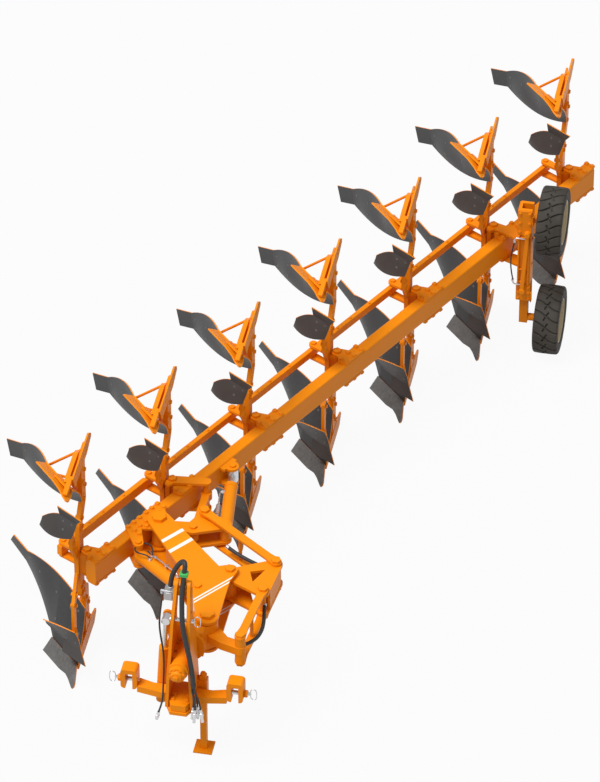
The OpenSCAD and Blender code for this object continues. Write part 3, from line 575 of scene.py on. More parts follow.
def distances(path):
    """Distance of each point of a path from its start, along the path."""
    return np.concatenate([[0], np.cumsum(np.linalg.norm(np.diff(path, axis=0), axis=1))])


def hang(path, shown=1):
    """Points of a cord along a path, every point or each one in so many, with the last; nothing is made of
    them.
    """
    points = path[::shown].tolist() + ([path[-1].tolist()] if shown > 1 else [])


def hose(name, body, path, diameter, sides, rubber):
    """Plain round hose along a path."""
    solid = Solid()
    sweep(solid, path, diameter / 2, sides)
    return solid.piece(name, body, "tyre_rubber", rubber)


# Rings of a washer and a hexagon head, by the head's size, and of a countersunk head: height and radius
WASHER = np.array([(0.0, 1.42), (0.20, 1.42), (0.28, 1.34)])
HEXAGON = np.array([(0.2, 1.1), (0.82, 1.1), (0.98, 0.92)])
STUD = np.array([(-0.002, 0.0105), (0.0010, 0.0105), (0.0016, 0.0092)])


def heads(solid, places, normals, sides, rings):
    """Many-sided rings stacked along each normal, closed at both ends."""
    side = unit(np.cross(normals, [0.37, 0.21, 0.905]))
    other = np.cross(normals, side)
    turn = np.arange(sides) * 2 * math.pi / sides
    flat = side[:, None] * np.cos(turn)[:, None] + other[:, None] * np.sin(turn)[:, None]
    height, radius = rings.T[..., None, None]
    points = places[:, None, None] + normals[:, None, None] * height + flat[:, None] * radius
    start = (np.arange(len(places)) * sides * len(rings))[:, None, None]
    groups = tube_faces(len(rings), sides)
    solid.add(points, [(start + group).reshape(-1, group.shape[1]) for group in groups])


def bolts(name, body, places, normals, size, material):
    """Hexagon heads with a bevelled top on round washers."""
    places, normals = np.broadcast_arrays(np.asarray(places, float), np.asarray(normals, float))
    places, normals = places.reshape(-1, 3), unit(normals.reshape(-1, 3))
    solid = Solid()
    heads(solid, places, normals, 12, WASHER * size)
    heads(solid, places, normals, 6, HEXAGON * size)
    slot = "orange_paint" if material.name.startswith("orange") else "bright_steel"
    solid.piece(name, body, slot, material)


def colour_setting(name, description, default):
    return FloatVectorProperty(name=name, description=description, default=default, size=3, min=0, max=1,
                               subtype="COLOR")


def length_setting(name, description, default):
    return FloatProperty(name=name, description=description, default=default, unit="LENGTH")


def angle_setting(name, description, degrees):
    return FloatProperty(name=name, description=description, default=math.radians(degrees), subtype="ANGLE")


class PloughColours(bpy.types.PropertyGroup):
    """Colours of the finishes, linear."""

    orange: colour_setting("Orange", "Enamel of frame, legs and linkage", (0.90, 0.270, 0.004))
    band: colour_setting("Band", "White bands on the swing arm", (0.88, 0.86, 0.80))
    mouldboard: colour_setting("Mouldboard", "Coat on the face of the mouldboards", (0.024, 0.0237, 0.024))
    share: colour_setting("Share", "Steel of shares and points", (0.120, 0.117, 0.112))
    skimmer: colour_setting("Skimmer", "Coat of the skimmers", (0.046, 0.040, 0.037))
    rubber: colour_setting("Rubber", "Tyres", (0.036, 0.032, 0.027))
    rim: colour_setting("Rim", "Wheel rims", (0.66, 0.56, 0.38))
    hose: colour_setting("Hose", "Hoses and their sleeve", (0.020, 0.020, 0.021))
    clamp: colour_setting("Clamp", "Clamp that holds the hose bundle", (0.05, 0.50, 0.10))
    floor: colour_setting("Floor", "Floor of the studio", (0.42, 0.42, 0.42))


class PloughSizes(bpy.types.PropertyGroup):
    """Sizes of what the looks add, and the camera."""

    lens: FloatProperty(name="Lens", description="Focal length of the camera", default=274.55, unit="CAMERA")
    eye: FloatVectorProperty(name="Eye", description="Place of the camera", subtype="XYZ", unit="LENGTH",
                             default=(7.4195, -33.2805, 32.2915))
    heading: angle_setting("Heading", "Camera turned from the travel line", 11.037)
    dip: angle_setting("Dip", "Camera tipped below the horizon", 40.0)
    sun: FloatProperty(name="Sun", description="Strength of the soft key light", default=2.7, min=0)
    sky: FloatProperty(name="Sky", description="Strength of the surrounding light", default=0.52, min=0)
    floor_span: length_setting("Floor span", "Half side of the floor", 120.0)
    bolt: length_setting("Bolt", "Half width of a frame bolt's head", 0.017)
    treads: IntProperty(name="Treads", description="Tread grooves round a tyre", default=19, min=8)
    groove: length_setting("Groove", "Depth of the tread grooves", 0.015)


# Share of the floor's white that the camera and reflections see, and the key light's way and spread
FLOOR_GLOW = 0.94
SUN_WAY, SUN_SPREAD = Vector((0.35, 0.30, -1.0)), math.radians(25)


def put(name, data, way=None):
    """New object in the scene, turned so that its -Z axis looks along a way."""
    made = bpy.data.objects.new(name, data)
    if way:
        made.rotation_mode = "QUATERNION"
        made.rotation_quaternion = way.to_track_quat("-Z", "Y")
    bpy.context.scene.collection.objects.link(made)
    return made


class PLOUGH_OT_stage(bpy.types.Operator):
    """Floor, soft light and the camera at the photograph's angle"""

    bl_idname = "plough.stage"
    bl_label = "Set the stage"

    def execute(self, context):
        s = sizes()
        scene = context.scene
        kit = Paint("studio_floor")
        diffuse = kit.node("ShaderNodeBsdfDiffuse", None, {"Color": (*look().floor, 1.0)})
        glow = kit.node("ShaderNodeEmission", None, {"Color": (1.0, 1.0, 1.0, 1.0), "Strength": 1.0})
        seen = kit.node("ShaderNodeLightPath", out="Is Camera Ray")
        for ray in ("Is Glossy Ray", "Is Transmission Ray"):
            seen = seen + kit.node("ShaderNodeLightPath", out=ray)
        mixed = kit.node("ShaderNodeMixShader", None, {0: (seen > 0.5) * FLOOR_GLOW, 1: diffuse, 2: glow})
        end = kit.tree.nodes.new("ShaderNodeOutputMaterial")
        kit.tree.links.new(mixed.socket, end.inputs[0])
        mesh = bpy.data.meshes.new("studio_floor")
        corners = np.array([(-1, -1, 0), (1, -1, 0), (1, 1, 0), (-1, 1, 0)]) * s.floor_span
        mesh.from_pydata(corners.tolist(), [], [(0, 1, 2, 3)])
        mesh.materials.append(kit.mat)
        put("studio_floor", mesh)
        world = bpy.data.worlds.new("studio_sky")
        world.use_nodes = True
        sky = world.node_tree.nodes["Background"]
        sky.inputs["Color"].default_value = (1.0, 1.0, 1.0, 1.0)
        sky.inputs["Strength"].default_value = s.sky
        scene.world = world
        lamp = bpy.data.lights.new("key_sun", "SUN")
        lamp.energy = s.sun
        lamp.angle = SUN_SPREAD
        put("key_sun", lamp, SUN_WAY)
        data = bpy.data.cameras.new("studio_camera")
        data.sensor_fit = "AUTO"
        data.sensor_width = 36.0
        data.lens = s.lens
        data.clip_end = 300.0
        level = math.cos(s.dip)
        ahead = Vector((-math.sin(s.heading) * level, math.cos(s.heading) * level, -math.sin(s.dip)))
        camera = put("studio_camera", data, ahead)
        camera.location = s.eye
        scene.camera = camera
        scene.view_settings.view_transform = "Standard"
        return {"FINISHED"}


# Routes of the hoses and ends of their couplers, in millimetres
SLEEVE_ROUTE = [
    (-108, 104, 1632.4), (-106, 112, 1690), (-90, 132, 1752), (-60, 148, 1812), (-22, 150, 1862),
    (6, 138, 1894), (18, 116, 1902), (18, 96, 1886), (13, 82, 1856), (8, 75, 1818), (8, 74, 1778),
    (2, 54, 1722), (1, 16, 1660), (3, -6, 1600), (10, -34, 1520), (15, -67, 1445), (28, -95, 1385),
    (44, -113, 1320), (60, -129, 1258), (77, -145, 1192), (93, -160, 1124), (106, -172, 1056),
    (116, -180, 988), (121, -181, 928), (122, -180, 870)]
LEFT_ROUTE = [
    (-172, 88, 1555.6), (-174, 84, 1500), (-182, 56, 1400), (-184, 22, 1300), (-172, 4, 1200),
    (-158, -2, 1100), (-148, -6, 1000), (-144, -22, 900), (-140, -50, 830), (-137, -82, 780),
    (-136, -106, 720), (-138, -112, 650), (-148, -106, 580), (-164, -96, 520), (-178, -88, 470)]
TAIL_STARTS = np.array([(113, -171, 869.4), (113, -189, 869.4), (131, -171, 869.4), (131, -189, 869.4)])
TAIL_ENDS = np.array([(116, -168, 645), (134, -192, 640), (146, -154, 645), (176, -182, 640)], float)
PLUG_ENDS = np.array([(106, -172, 520), (128, -206, 515), (149, -160, 520), (192, -186, 515)], float)
LEFT_PLUG = np.array((-196, -84, 390), float)
TAIL_STRAIGHT = 45
SLEEVE_D, HOSE_D = 0.040, 0.015
SLEEVE_PITCH, SLEEVE_DENT, DENT_WIDE = 0.028, 0.09, 0.12

# Turned profiles as distance and radius: the valve's inlet nut, side stub and elbow, and the hoses' couplers
INLET_NUT = [(0, 0.026), (0.004, 0.027), (0.013, 0.027), (0.0153, 0.022)]
SIDE_STUB = [(0, 0.014), (0.012, 0.014), (0.014, 0.012), (0.032, 0.012), (0.036, 0.009)]
ELBOW = [(0, 0.010), (0.004, 0.011), (0.014, 0.011), (0.016, 0.013), (0.030, 0.013), (0.0322, 0.0105)]
COUPLER = [(0.0003, 0.0095), (0.004, 0.0115), (0.026, 0.0115), (0.030, 0.013), (0.034, 0.013), (0.036, 0.016),
           (0.066, 0.016), (0.069, 0.013), (0.085, 0.013), (0.087, 0.0118)]
COUPLER_TIP = [(-0.012, 0.0118), (-0.010, 0.0128), (-0.002, 0.0128), (0.0, 0.0105)]
CUFF = [(0.0, 0.0202), (0.002, 0.0218), (0.026, 0.0218), (0.034, 0.0205), (0.038, 0.0190)]


class PLOUGH_OT_hoses(bpy.types.Operator):
    """Valve block, clamp, hose bundle in its spiral sleeve, four tails, the single hose and their couplers"""

    bl_idname = "plough.hoses"
    bl_label = "Hang the hoses"

    def execute(self, context):
        rubber, steel = hose_rubber(), bright_steel()
        valve, clamp = Solid(), Solid()
        block(valve, (-150, 52, 1520), (-70.5, 128, 1620), 5)
        block(valve, (-140, 44, 1535), (-84, 52, 1605), 3)
        lathe(valve, np.array((-108, 104, 1617)) * MM, UP, INLET_NUT, 6)
        lathe(valve, np.array((-148, 88, 1585)) * MM, (-1, 0, 0), SIDE_STUB, 24)
        lathe(valve, np.array((-172, 88, 1588)) * MM, (0, 0, -1), ELBOW, 24)
        valve.piece("valve_block", "headstock", "bright_steel", valve_metal())
        block(clamp, (-24, 47, 1778), (40, 104, 1814), 5)
        block(clamp, (-4, 86, 1640), (20, 98, 1790), 3)
        clamp.piece("hose_clamp", "headstock", "orange_paint", clamp_plastic())
        plugs = []
        ends = [*zip(TAIL_ENDS, PLUG_ENDS), (np.array(LEFT_ROUTE[-1], float), LEFT_PLUG)]
        for i, (p, q) in enumerate(ends):
            solid = Solid()
            reach = np.linalg.norm(q - p) * MM
            tip = [(reach + step, radius) for step, radius in COUPLER_TIP]
            lathe(solid, p * MM, q - p, COUPLER + tip, 24)
            plugs.append(solid.piece(f"hose_coupler_{i + 1}", "headstock", "bright_steel", steel))
        path = through(SLEEVE_ROUTE, 640)
        wind = (distances(path)[:, None] / SLEEVE_PITCH + np.arange(20) / 20) % 1
        dent = np.clip(1 - np.abs(wind - 0.5) / DENT_WIDE, 0, 1)
        wrap, end = Solid(), Solid()
        sweep(wrap, path, SLEEVE_D / 2 * (1 - SLEEVE_DENT * dent), 20)
        sleeve = wrap.piece("hose_sleeve_wrap", "headstock", "tyre_rubber", rubber)
        lathe(end, path[-1] + (-0.0005, -0.0005, 0.034), path[-1] - path[-12], CUFF, 24)
        cuff = end.piece("hose_sleeve_cuff", "headstock", "tyre_rubber", rubber)
        hang(path, shown=8)
        routes = []
        for start, end, plug_end in zip(TAIL_STARTS, TAIL_ENDS, PLUG_ENDS):
            neck = end - (plug_end - end) / np.linalg.norm(plug_end - end) * TAIL_STRAIGHT
            route = [start, start - (0, 0, TAIL_STRAIGHT), start + (neck - start) * 0.55, neck, end]
            routes.append((f"hose_tail_{len(routes) + 1}", route, 60))
        routes.append(("hose_single", LEFT_ROUTE, 160))
        for (name, route, count), plug in zip(routes, plugs):
            path = through(route, count)
            made = hose(name, "headstock", path, HOSE_D, 16, rubber)
            hang(path)
        return {"FINISHED"}


class PLOUGH_OT_paint(bpy.types.Operator):
    """Give every CAD node the finish of its material slot"""

    bl_idname = "plough.paint"
    bl_label = "Paint the frame"

    def execute(self, context):
        made = {}
        for part in frame["record"]["subparts"]:
            key = part["node"] if part["node"] in OWN_FINISHES else part["material_slot"]
            made.setdefault(key, {**FINISHES, **OWN_FINISHES}[key]())
            mesh = frame["nodes"][part["node"]].data
            mesh.materials.clear()
            mesh.materials.append(made[key])
        return {"FINISHED"}


# Countersunk heads, by each surface's two parameters, and the boss between a skimmer and its stem
BOARD_STUDS = [(0.06, 0.35), (0.10, 0.70), (0.20, 0.25), (0.22, 0.60), (0.42, 0.25), (0.46, 0.62),
               (0.70, 0.30), (0.72, 0.66), (0.93, 0.30), (0.93, 0.72)]
SHARE_STUDS = [(0.08, 0.55), (0.22, 0.55), (0.36, 0.55), (0.50, 0.55), (0.70, 0.62)]
SKIM_STUDS = [(0.12, 0.22), (0.36, 0.22), (0.30, 0.60)]
SKIM_BOSS, BOSS_BACK = [(0.0, 0.022), (0.004, 0.025), (0.017, 0.025)], 14


def stud_rows(surface, rows):
    """Places and outward directions on a surface for pairs of its two parameters."""
    front, back = with_back(surface, *np.array(rows).T, 1.0)
    return front, front - back


class PLOUGH_OT_bodies(bpy.types.Operator):
    """Mouldboards with their tail pieces, shares and skimmers, for the upper and the lower bodies"""

    bl_idname = "plough.bodies"
    bl_label = "Fit the mouldboards"

    def execute(self, context):
        orange = orange_enamel()
        blade = share(*mesh_uv(73, 15))
        under = blade + np.array([*(BACK * math.sin(SHARE_SLOPE)), -math.cos(SHARE_SLOPE)]) * SHARE_T
        board = with_back(mould, *mesh_uv(61, 25), BOARD_T)
        edge, edge_back = board[0][-1], board[1][-1]
        tu, tv = mesh_uv(13, 25)
        tail = edge + (lerp(TAIL_LOW, TAIL_TOP, tv[0]) - edge) * (0.001 + 0.999 * tu)[..., None]
        leaf = with_back(skim, *mesh_uv(49, 17), LEAF_T)
        ru, rv = mesh_uv(13, 7)
        cutting = lerp(SKIM_TIP, SKIM_HEEL, ru)
        strip = cutting + (lerp(*SKIM_SEAM, ru) - cutting) * rv[..., None]
        lean = unit(np.cross(SKIM_SEAM[0] - SKIM_TIP, SKIM_HEEL - SKIM_TIP)) * LEAF_T
        rows = [stud_rows(*pair) for pair in ((mould, BOARD_STUDS), (share, SHARE_STUDS), (skim, SKIM_STUDS))]
        spots, ways = (np.concatenate(group) for group in zip(*rows))
        plates = (
            ("share", "share_steel", share_steel(), [(blade, under)]),
            ("mouldboard", "mouldboard_steel", mould_coat(), [board, (tail, tail + (edge_back - edge))]),
            ("skimmer", "skimmer_steel", skimmer_coat(), [leaf, (strip, strip - lean)]))
        for i in BODIES:
            for name, slot, coat, sheets in plates:
                solid = Solid()
                for upper in (False, True):
                    flip = np.array((1, 1, -1 if upper else 1))
                    for front, back in sheets:
                        shell(solid, at_station(front, i), at_station(back, i), upper)
                    if name == "share":
                        heads(solid, mirrored(at_station(spots, i), upper), ways * flip, 12, STUD)
                    if name == "skimmer":
                        seat = mirrored(at_station(SKIM_SEAT - BOSS_BACK * SKIM_AHEAD, i), upper)
                        lathe(solid, seat, SKIM_AHEAD * flip, SKIM_BOSS, 20, 1)
                made = solid.piece(f"{name}_pair_{i}", f"leg_{i}", slot, coat, orange)
                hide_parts(f"{name}s_{i}")
        return {"FINISHED"}


# Tyre in metres, and the points across its tread, each wall, its inner side and each rounded corner
TYRE_R, RIM_R, TYRE_HALF, SHOULDER, CROWN = 0.295, 0.190, 0.107, 0.020, 0.004
TREAD_STEPS, WALL_STEPS, BEAD_STEPS, CORNER_STEPS, GROOVE_STEPS = 49, 6, 7, 6, 30

# Tread: slant and bend of a groove, in pitches, half width and flank of grooves and middle line, and the
# middle line's slant
GROOVE_SLANT, GROOVE_BEND, GROOVE_HALF, GROOVE_FLANK = 0.46, 0.6, 0.085, 0.03
MIDDLE_HALF, MIDDLE_FLANK, MIDDLE_SLANT = 0.060, 0.025, 0.36


class PLOUGH_OT_tyres(bpy.types.Operator):
    """Tyres with curved tread blocks"""

    bl_idname = "plough.tyres"
    bl_label = "Put on the tyres"

    def execute(self, context):
        rubber = tyre_rubber()
        for name in ("lower", "upper"):
            centre = np.mean(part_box(f"tyre_{name}"), axis=0)
            solid = Solid()
            points = self.surface(name == "upper")
            faces = grid(*points.shape[:2], wrap_rows=True, wrap_columns=True)[:, ::-1]
            solid.add(points + centre, [faces])
            made = solid.piece(f"tyre_{name}_tread", f"wheel_{name}", "tyre_rubber", rubber, sharp=50.0)
            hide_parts(f"tyre_{name}")
        return {"FINISHED"}

    def surface(self, turned):
        """Rounded oblong section with a crowned tread, turned round the axle; grooves sink where an S-curve
        across the tread, repeated round the tyre, or the slanting middle line between two of them, comes
        within half a groove."""
        s = sizes()
        turn = np.linspace(0, 2 * math.pi, s.treads * GROOVE_STEPS, endpoint=False)[:, None]
        half, flat = (TYRE_R - RIM_R) / 2, TYRE_HALF - SHOULDER
        level = half - SHOULDER
        arc = np.linspace(0, math.pi / 2, CORNER_STEPS + 2)[1:-1]
        wide, tall = SHOULDER * np.cos(arc), SHOULDER * np.sin(arc)
        tread, bead = np.linspace(flat, -flat, TREAD_STEPS), np.linspace(-flat, flat, BEAD_STEPS)
        wall, side = np.linspace(level, -level, WALL_STEPS), np.full(WALL_STEPS, TYRE_HALF)
        x = np.concatenate([tread, -flat - wide[::-1], -side, -flat - wide,
                            bead, flat + wide[::-1], side, flat + wide])[None]
        outer, inner = np.full(TREAD_STEPS, half), np.full(BEAD_STEPS, -half)
        height = np.concatenate([outer, level + tall[::-1], wall, -level - tall,
                                 inner, -level - tall[::-1], wall[::-1], level + tall])[None]
        w = x / TYRE_HALF * (-1 if turned else 1)
        bent = GROOVE_SLANT * w * (1 + GROOVE_BEND - GROOVE_BEND * w ** 2)
        phase = (turn * s.treads / (2 * math.pi) + bent) % 1
        across = np.clip((GROOVE_HALF - np.abs(phase - 0.5)) / GROOVE_FLANK, 0, 1)
        middle = np.clip((MIDDLE_HALF - np.abs(w - MIDDLE_SLANT * (phase - 0.5))) / MIDDLE_FLANK, 0, 1)
        reach = np.clip((height - level * 0.9) / (SHOULDER * 0.6), 0, 1)
        crown = CROWN * w ** 2 * (height > 0)
        r = (TYRE_R + RIM_R) / 2 + height - crown - s.groove * np.maximum(across, middle) * reach
        r, x = np.broadcast_arrays(r, x)
        return np.stack([x, r * np.sin(turn), r * np.cos(turn)], -1)


# Middles of the hitch pins, and turned profiles of pins, collars and bearing rings
LOW_PIN, TOP_PIN = np.array((0.421, 0.0, 0.700)), np.array((0.0, 0.0, 1.385))
LOW_ROD = [(0.0, 0.013), (0.005, 0.018), (0.176, 0.018), (0.180, 0.015), (0.190, 0.012), (0.197, 0.010)]
TOP_ROD = [(0.0, 0.012), (0.004, 0.016), (0.186, 0.016), (0.192, 0.012), (0.198, 0.010)]
PIN_COLLAR = [(0.0, 0.027), (0.004, 0.030), (0.024, 0.030), (0.028, 0.026)]
BEARING_RING = [(0.0, 0.0675), (0.002, 0.080), (0.020, 0.080), (0.023, 0.0675)]
BEARING_CAP = [(0.0, 0.052), (0.004, 0.052), (0.009, 0.046), (0.024, 0.042), (0.027, 0.037)]
LOOP_HALF, LOOP_TALL, LOOP_WIRE = 0.024, 0.050, 0.0042

# Inner ends of the rods and places of the loops and collars, from the pins' middles, and the bearing's
# faces in y
LOW_ROD_BACK, LOW_LOOP_OUT, COLLAR_OUT = 0.077, 0.140, 0.066
TOP_ROD_BACK, TOP_LOOP_OUT = 0.096, 0.122
RING_Y, CAP_Y, NUT_Y = -0.156, -0.2205, -0.247


def loop_handle(solid, centre):
    """Round wire bent to a closed oval: a superellipse in the upright plane, swept by a circle."""
    turn = np.arange(48) * 2 * math.pi / 48
    bent = lambda c: np.sign(c) * np.abs(c) ** 0.6
    path = np.stack([LOOP_HALF * bent(np.cos(turn)), np.zeros(48), LOOP_TALL * bent(np.sin(turn))], -1)
    tangent = unit(np.roll(path, -1, 0) - np.roll(path, 1, 0))
    out = np.cross(tangent, [0.0, 1.0, 0.0])
    ring = np.arange(10) * 2 * math.pi / 10
    wire = out[:, None] * np.cos(ring)[:, None] + np.array([0.0, 1.0, 0.0]) * np.sin(ring)[:, None]
    points = path[:, None] + LOOP_WIRE * wire + centre
    solid.add(points, [grid(48, 10, wrap_rows=True, wrap_columns=True)])


class PLOUGH_OT_head_fittings(bpy.types.Operator):
    """Hitch pins with their loop handles, pin collars and the rings of the turnover bearing"""

    bl_idname = "plough.head_fittings"
    bl_label = "Fit the headstock"

    def execute(self, context):
        orange = orange_enamel()
        pins, collars = Solid(), Solid()
        for side in (-1, 1):
            middle = LOW_PIN * (side, 1, 1)
            lathe(pins, middle - (LOW_ROD_BACK * side, 0, 0), (side, 0, 0), LOW_ROD, 32)
            loop_handle(pins, middle + (LOW_LOOP_OUT * side, 0, 0))
            lathe(collars, middle + (COLLAR_OUT * side, 0, 0), (side, 0, 0), PIN_COLLAR, 28)
        lathe(pins, TOP_PIN - (TOP_ROD_BACK, 0, 0), (1, 0, 0), TOP_ROD, 32)
        loop_handle(pins, TOP_PIN + (TOP_LOOP_OUT, 0, 0))
        made = pins.piece("hitch_pin_set", "headstock", "bright_steel", bright_steel())
        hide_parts("hitch_pins")
        lathe(collars, (0, RING_Y, MID), (0, -1, 0), BEARING_RING, 48)
        lathe(collars, (0, CAP_Y, MID), (0, -1, 0), BEARING_CAP, 48)
        collars.piece("head_collars", "headstock", "orange_paint", orange)
        bolts("bearing_nut", "headstock", (0, NUT_Y, MID), (0, -1.0, 0), 0.019, orange)
        return {"FINISHED"}


# Ends of the offset and the width cylinder seen from above, and the thin lines' diameter and radius
SHIFT_EYE = np.array([-0.019, 0.661])
SHIFT_PIN = STATION_1 + ALONG * 0.319 + ACROSS * (BEAM_ACROSS + 0.150)
WIDTH_EYE = PIVOT + (0.511, 0.112)
WIDTH_PIN = STATION_1 + ALONG * 1.531 + ACROSS * (BEAM_ACROSS + 0.118)
LINE_D, PIPE_R = 0.012, 0.006


def on_barrel(foot, head, *places):
    """Points given in millimetres along, to the left of and over the line of a cylinder."""
    ahead = unit(head - foot)
    left = np.array([-ahead[1], ahead[0]])
    places = np.asarray(places, float) * MM
    flat = foot + places[:, :1] * ahead + places[:, 1:2] * left
    return np.column_stack([flat, MID + places[:, 2]])


def pipe(solid, places, radius, count=40):
    """Steel line bent through a few places."""
    sweep(solid, through(np.asarray(places) / MM, count), radius, 10)


# Stretches of the linkage hose by the link that carries them, in millimetres
LINK_HOSE_D = 0.030
LINK_HOSES = {
    "drag_link": [(70, 1352, 985), (160, 1300, 970), (250, 1256, 962), (340, 1210, 965), (420, 1160, 980),
                  (480, 1112, 1000)],
    "bell_crank": [(486, 1106, 1002), (520, 1066, 1010), (536, 1010, 1010), (534, 950, 1006),
                   (522, 880, 1002), (508, 820, 1000), (504, 796, 1000)],
    "head_link": [(504, 728, 999), (508, 700, 998), (522, 620, 992), (536, 530, 985), (538, 440, 980),
                  (520, 350, 982), (476, 270, 990), (424, 214, 1000)],
}
HOSE_SLEEVE = [(0.0, 0.0150), (0.003, 0.0168), (0.026, 0.0168), (0.030, 0.0152)]


class PLOUGH_OT_link_hoses(bpy.types.Operator):
    """Large hose along the linkage, one stretch on each link, with a sleeve at both ends"""

    bl_idname = "plough.link_hoses"
    bl_label = "Run the hose along the links"

    def execute(self, context):
        rubber, steel = hose_rubber(), bright_steel()
        for body, route in LINK_HOSES.items():
            path = through(route, 90)
            sleeves = Solid()
            for end, inner in ((0, 8), (-1, -9)):
                start = path[end] + unit(path[end] - path[inner]) * 0.001
                lathe(sleeves, start, path[inner] - path[end], HOSE_SLEEVE, 20)
            sleeve = sleeves.piece(f"{body}_hose_sleeves", body, "bright_steel", steel)
            made = hose(f"{body}_hose", body, path, LINK_HOSE_D, 16, rubber)
            hang(path)
        return {"FINISHED"}


# Turned profiles of a union and the check valve, and the offset cylinder's hose along, left of and over it
UNION = [(0.0, 0.012), (0.010, 0.012), (0.011, 0.015), (0.022, 0.015), (0.024, 0.010), (0.030, 0.009)]
CHECK_VALVE = [(0, 0.008), (0.003, 0.014), (0.020, 0.014), (0.022, 0.017), (0.110, 0.017), (0.113, 0.012),
               (0.130, 0.008)]
SHIFT_LOOP = [(152, 18, 77), (146, 26, 94), (124, 44, 98), (94, 62, 96), (60, 70, 94), (24, 62, 92),
              (2, 36, 90), (-4, 0, 88), (4, -34, 90), (30, -60, 92), (66, -64, 94), (108, -48, 98),
              (148, -28, 96), (166, -16, 77)]


class PLOUGH_OT_cylinder_lines(bpy.types.Operator):
    """Steel lines, unions and the looped hose of the offset and the width cylinder"""

    bl_idname = "plough.cylinder_lines"
    bl_label = "Plumb the cylinders"

    def execute(self, context):
        steel, rubber = bright_steel(), hose_rubber()
        shift, at = Solid(), partial(on_barrel, SHIFT_PIN, SHIFT_EYE)
        for place in at((152, 18, 48), (166, -16, 48), (470, 14, 50)):
            lathe(shift, place, UP, UNION, 6)
        bends = at((470, 14, 74), (462, 16, 84), (440, 18, 86), (330, 20, 82), (240, 22, 80), (200, 22, 76))
        pipe(shift, bends, PIPE_R)
        bar(shift, *at((330, 20, 50), (330, 20, 92)), (*unit(SHIFT_EYE - SHIFT_PIN), 0), 0.016, 0.034, 0.003)
        ahead, origin = at((1, 0, 0), (0, 0, 0))
        lathe(shift, at((205, 22, 76))[0], origin - ahead, UNION, 6)
        shift.piece("shift_lines", "shift_barrel", "bright_steel", steel)
        path = through(at(*SHIFT_LOOP) / MM, 150)
        made = hose("shift_hose", "shift_barrel", path, LINE_D, 12, rubber)
        hang(path)
        width, at = Solid(), partial(on_barrel, WIDTH_EYE, WIDTH_PIN)
        ahead, left, origin = at((1, 0, 0), (0, 1, 0), (0, 0, 0))
        for place in at((90, 44, 18), (470, 44, 18)):
            lathe(width, place, left - origin, UNION, 6)
        bends = at((90, 70, 18), (98, 80, 18), (120, 82, 18), (440, 82, 18), (462, 80, 18), (470, 70, 18))
        pipe(width, bends, PIPE_R)
        lathe(width, at((190, 82, 18))[0], ahead - origin, CHECK_VALVE, 16)
        width.piece("width_lines", "width_barrel", "bright_steel", steel)
        return {"FINISHED"}


# Middle of the wheel column, profiles of its bosses and nuts, its steel lines' bends and the bow of its hose
COLUMN = station(6) + (0.294, -0.107)
LINK_BOSS = [(0.0, 0.030), (0.012, 0.030), (0.016, 0.026), (0.044, 0.026), (0.047, 0.022)]
TOP_BENDS = [(10, -22, -284), (-20, -30, -278), (-62, -32, -276), (-78, -32, -286), (-82, -31, -316)]
LOW_BENDS = [(-88, -31, 232), (-84, -33, 204), (-68, -34, 192), (-40, -32, 190), (-4, -20, 186)]
LINE_NUT = [(0.0, 0.009), (0.003, 0.012), (0.020, 0.012), (0.023, 0.0095)]
COLUMN_PIPE_R, HOSE_BOW = 0.0065, np.array([-0.022, -0.010, 0.0])


class PLOUGH_OT_column(bpy.types.Operator):
    """Cheek plates, ribs, link bar, lines and a hose on the wheel column"""

    bl_idname = "plough.column"
    bl_label = "Dress the wheel column"

    def execute(self, context):
        orange, steel, rubber = orange_enamel(), bright_steel(), hose_rubber()
        low, high = (corner[2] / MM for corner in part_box("wheel_column"))
        cx, cy = COLUMN / MM
        front = cy - 65
        solid = Solid()

        def box(x0, x1, y0, y1, z0, z1, bevel=3):
            block(solid, (cx + x0, y0, z0), (cx + x1, y1, z1), bevel)

        box(-60, 58, front - 9, front + 0.5, high - 262, high - 2)
        box(-64, -54.5, front - 4, cy + 62, high - 250, high - 2)
        box(-60, 58, front - 9, front + 0.5, low + 2, low + 172)
        box(-64, -54.5, front - 4, cy + 62, low + 2, low + 160)
        for x in (-55, 28):
            box(x, x + 14, front - 22, front + 0.5, low + 172, high - 262)
        for z in (low + 196, low + 330, high - 296):
            box(-41, 28, front - 16, front + 0.5, z, z + 16)
        for z in (low + 30, high - 120):
            box(58, 70, front - 14, front + 28, z - 40, z + 70, 8)
        upper = np.array((cx + 24, front - 9, high - 236)) * MM
        lower = np.array((cx - 8, front - 9, low + 120)) * MM
        for boss in (upper, lower):
            lathe(solid, boss + (0, 0.008, 0), (0, -1, 0), LINK_BOSS, 28)
        ends = upper + (0.004, -0.026, 0.020), lower + (-0.004, -0.026, -0.020)
        bar(solid, *ends, (1, 0, 0), 0.034, 0.014, 0.003)
        solid.piece("column_plates", "leg_6", "orange_paint", orange)
        levels = (high - 30, high - 130, high - 226, low + 24, low + 92, low + 150)
        places = np.array([(cx + x, front - 9, z) for x in (-42, 40) for z in levels]) * MM
        bolts("column_bolts", "leg_6", places, (0, -1.0, 0), 0.011, orange)
        lines = Solid()
        top_line = (np.array(TOP_BENDS) + (cx, front, high)) * MM
        low_line = (np.array(LOW_BENDS) + (cx, front, low)) * MM
        for line in (top_line, low_line):
            pipe(lines, line, COLUMN_PIPE_R)
        lathe(lines, top_line[-1] + (0, 0, 0.014), (0, 0, -1), LINE_NUT, 6)
        lathe(lines, low_line[0] + (0, 0, -0.014), (0, 0, 1), LINE_NUT, 6)
        lines.piece("column_lines", "leg_6", "bright_steel", steel)
        a, b = top_line[-1] - (0, 0, 0.009), low_line[0] + (0, 0, 0.009)
        t = np.linspace(0, 1, 60)
        path = a + (b - a) * t[:, None] + np.sin(math.pi * t)[:, None] * HOSE_BOW
        made = hose("column_hose", "leg_6", path, LINE_D, 12, rubber)
        hang(path)
        return {"FINISHED"}


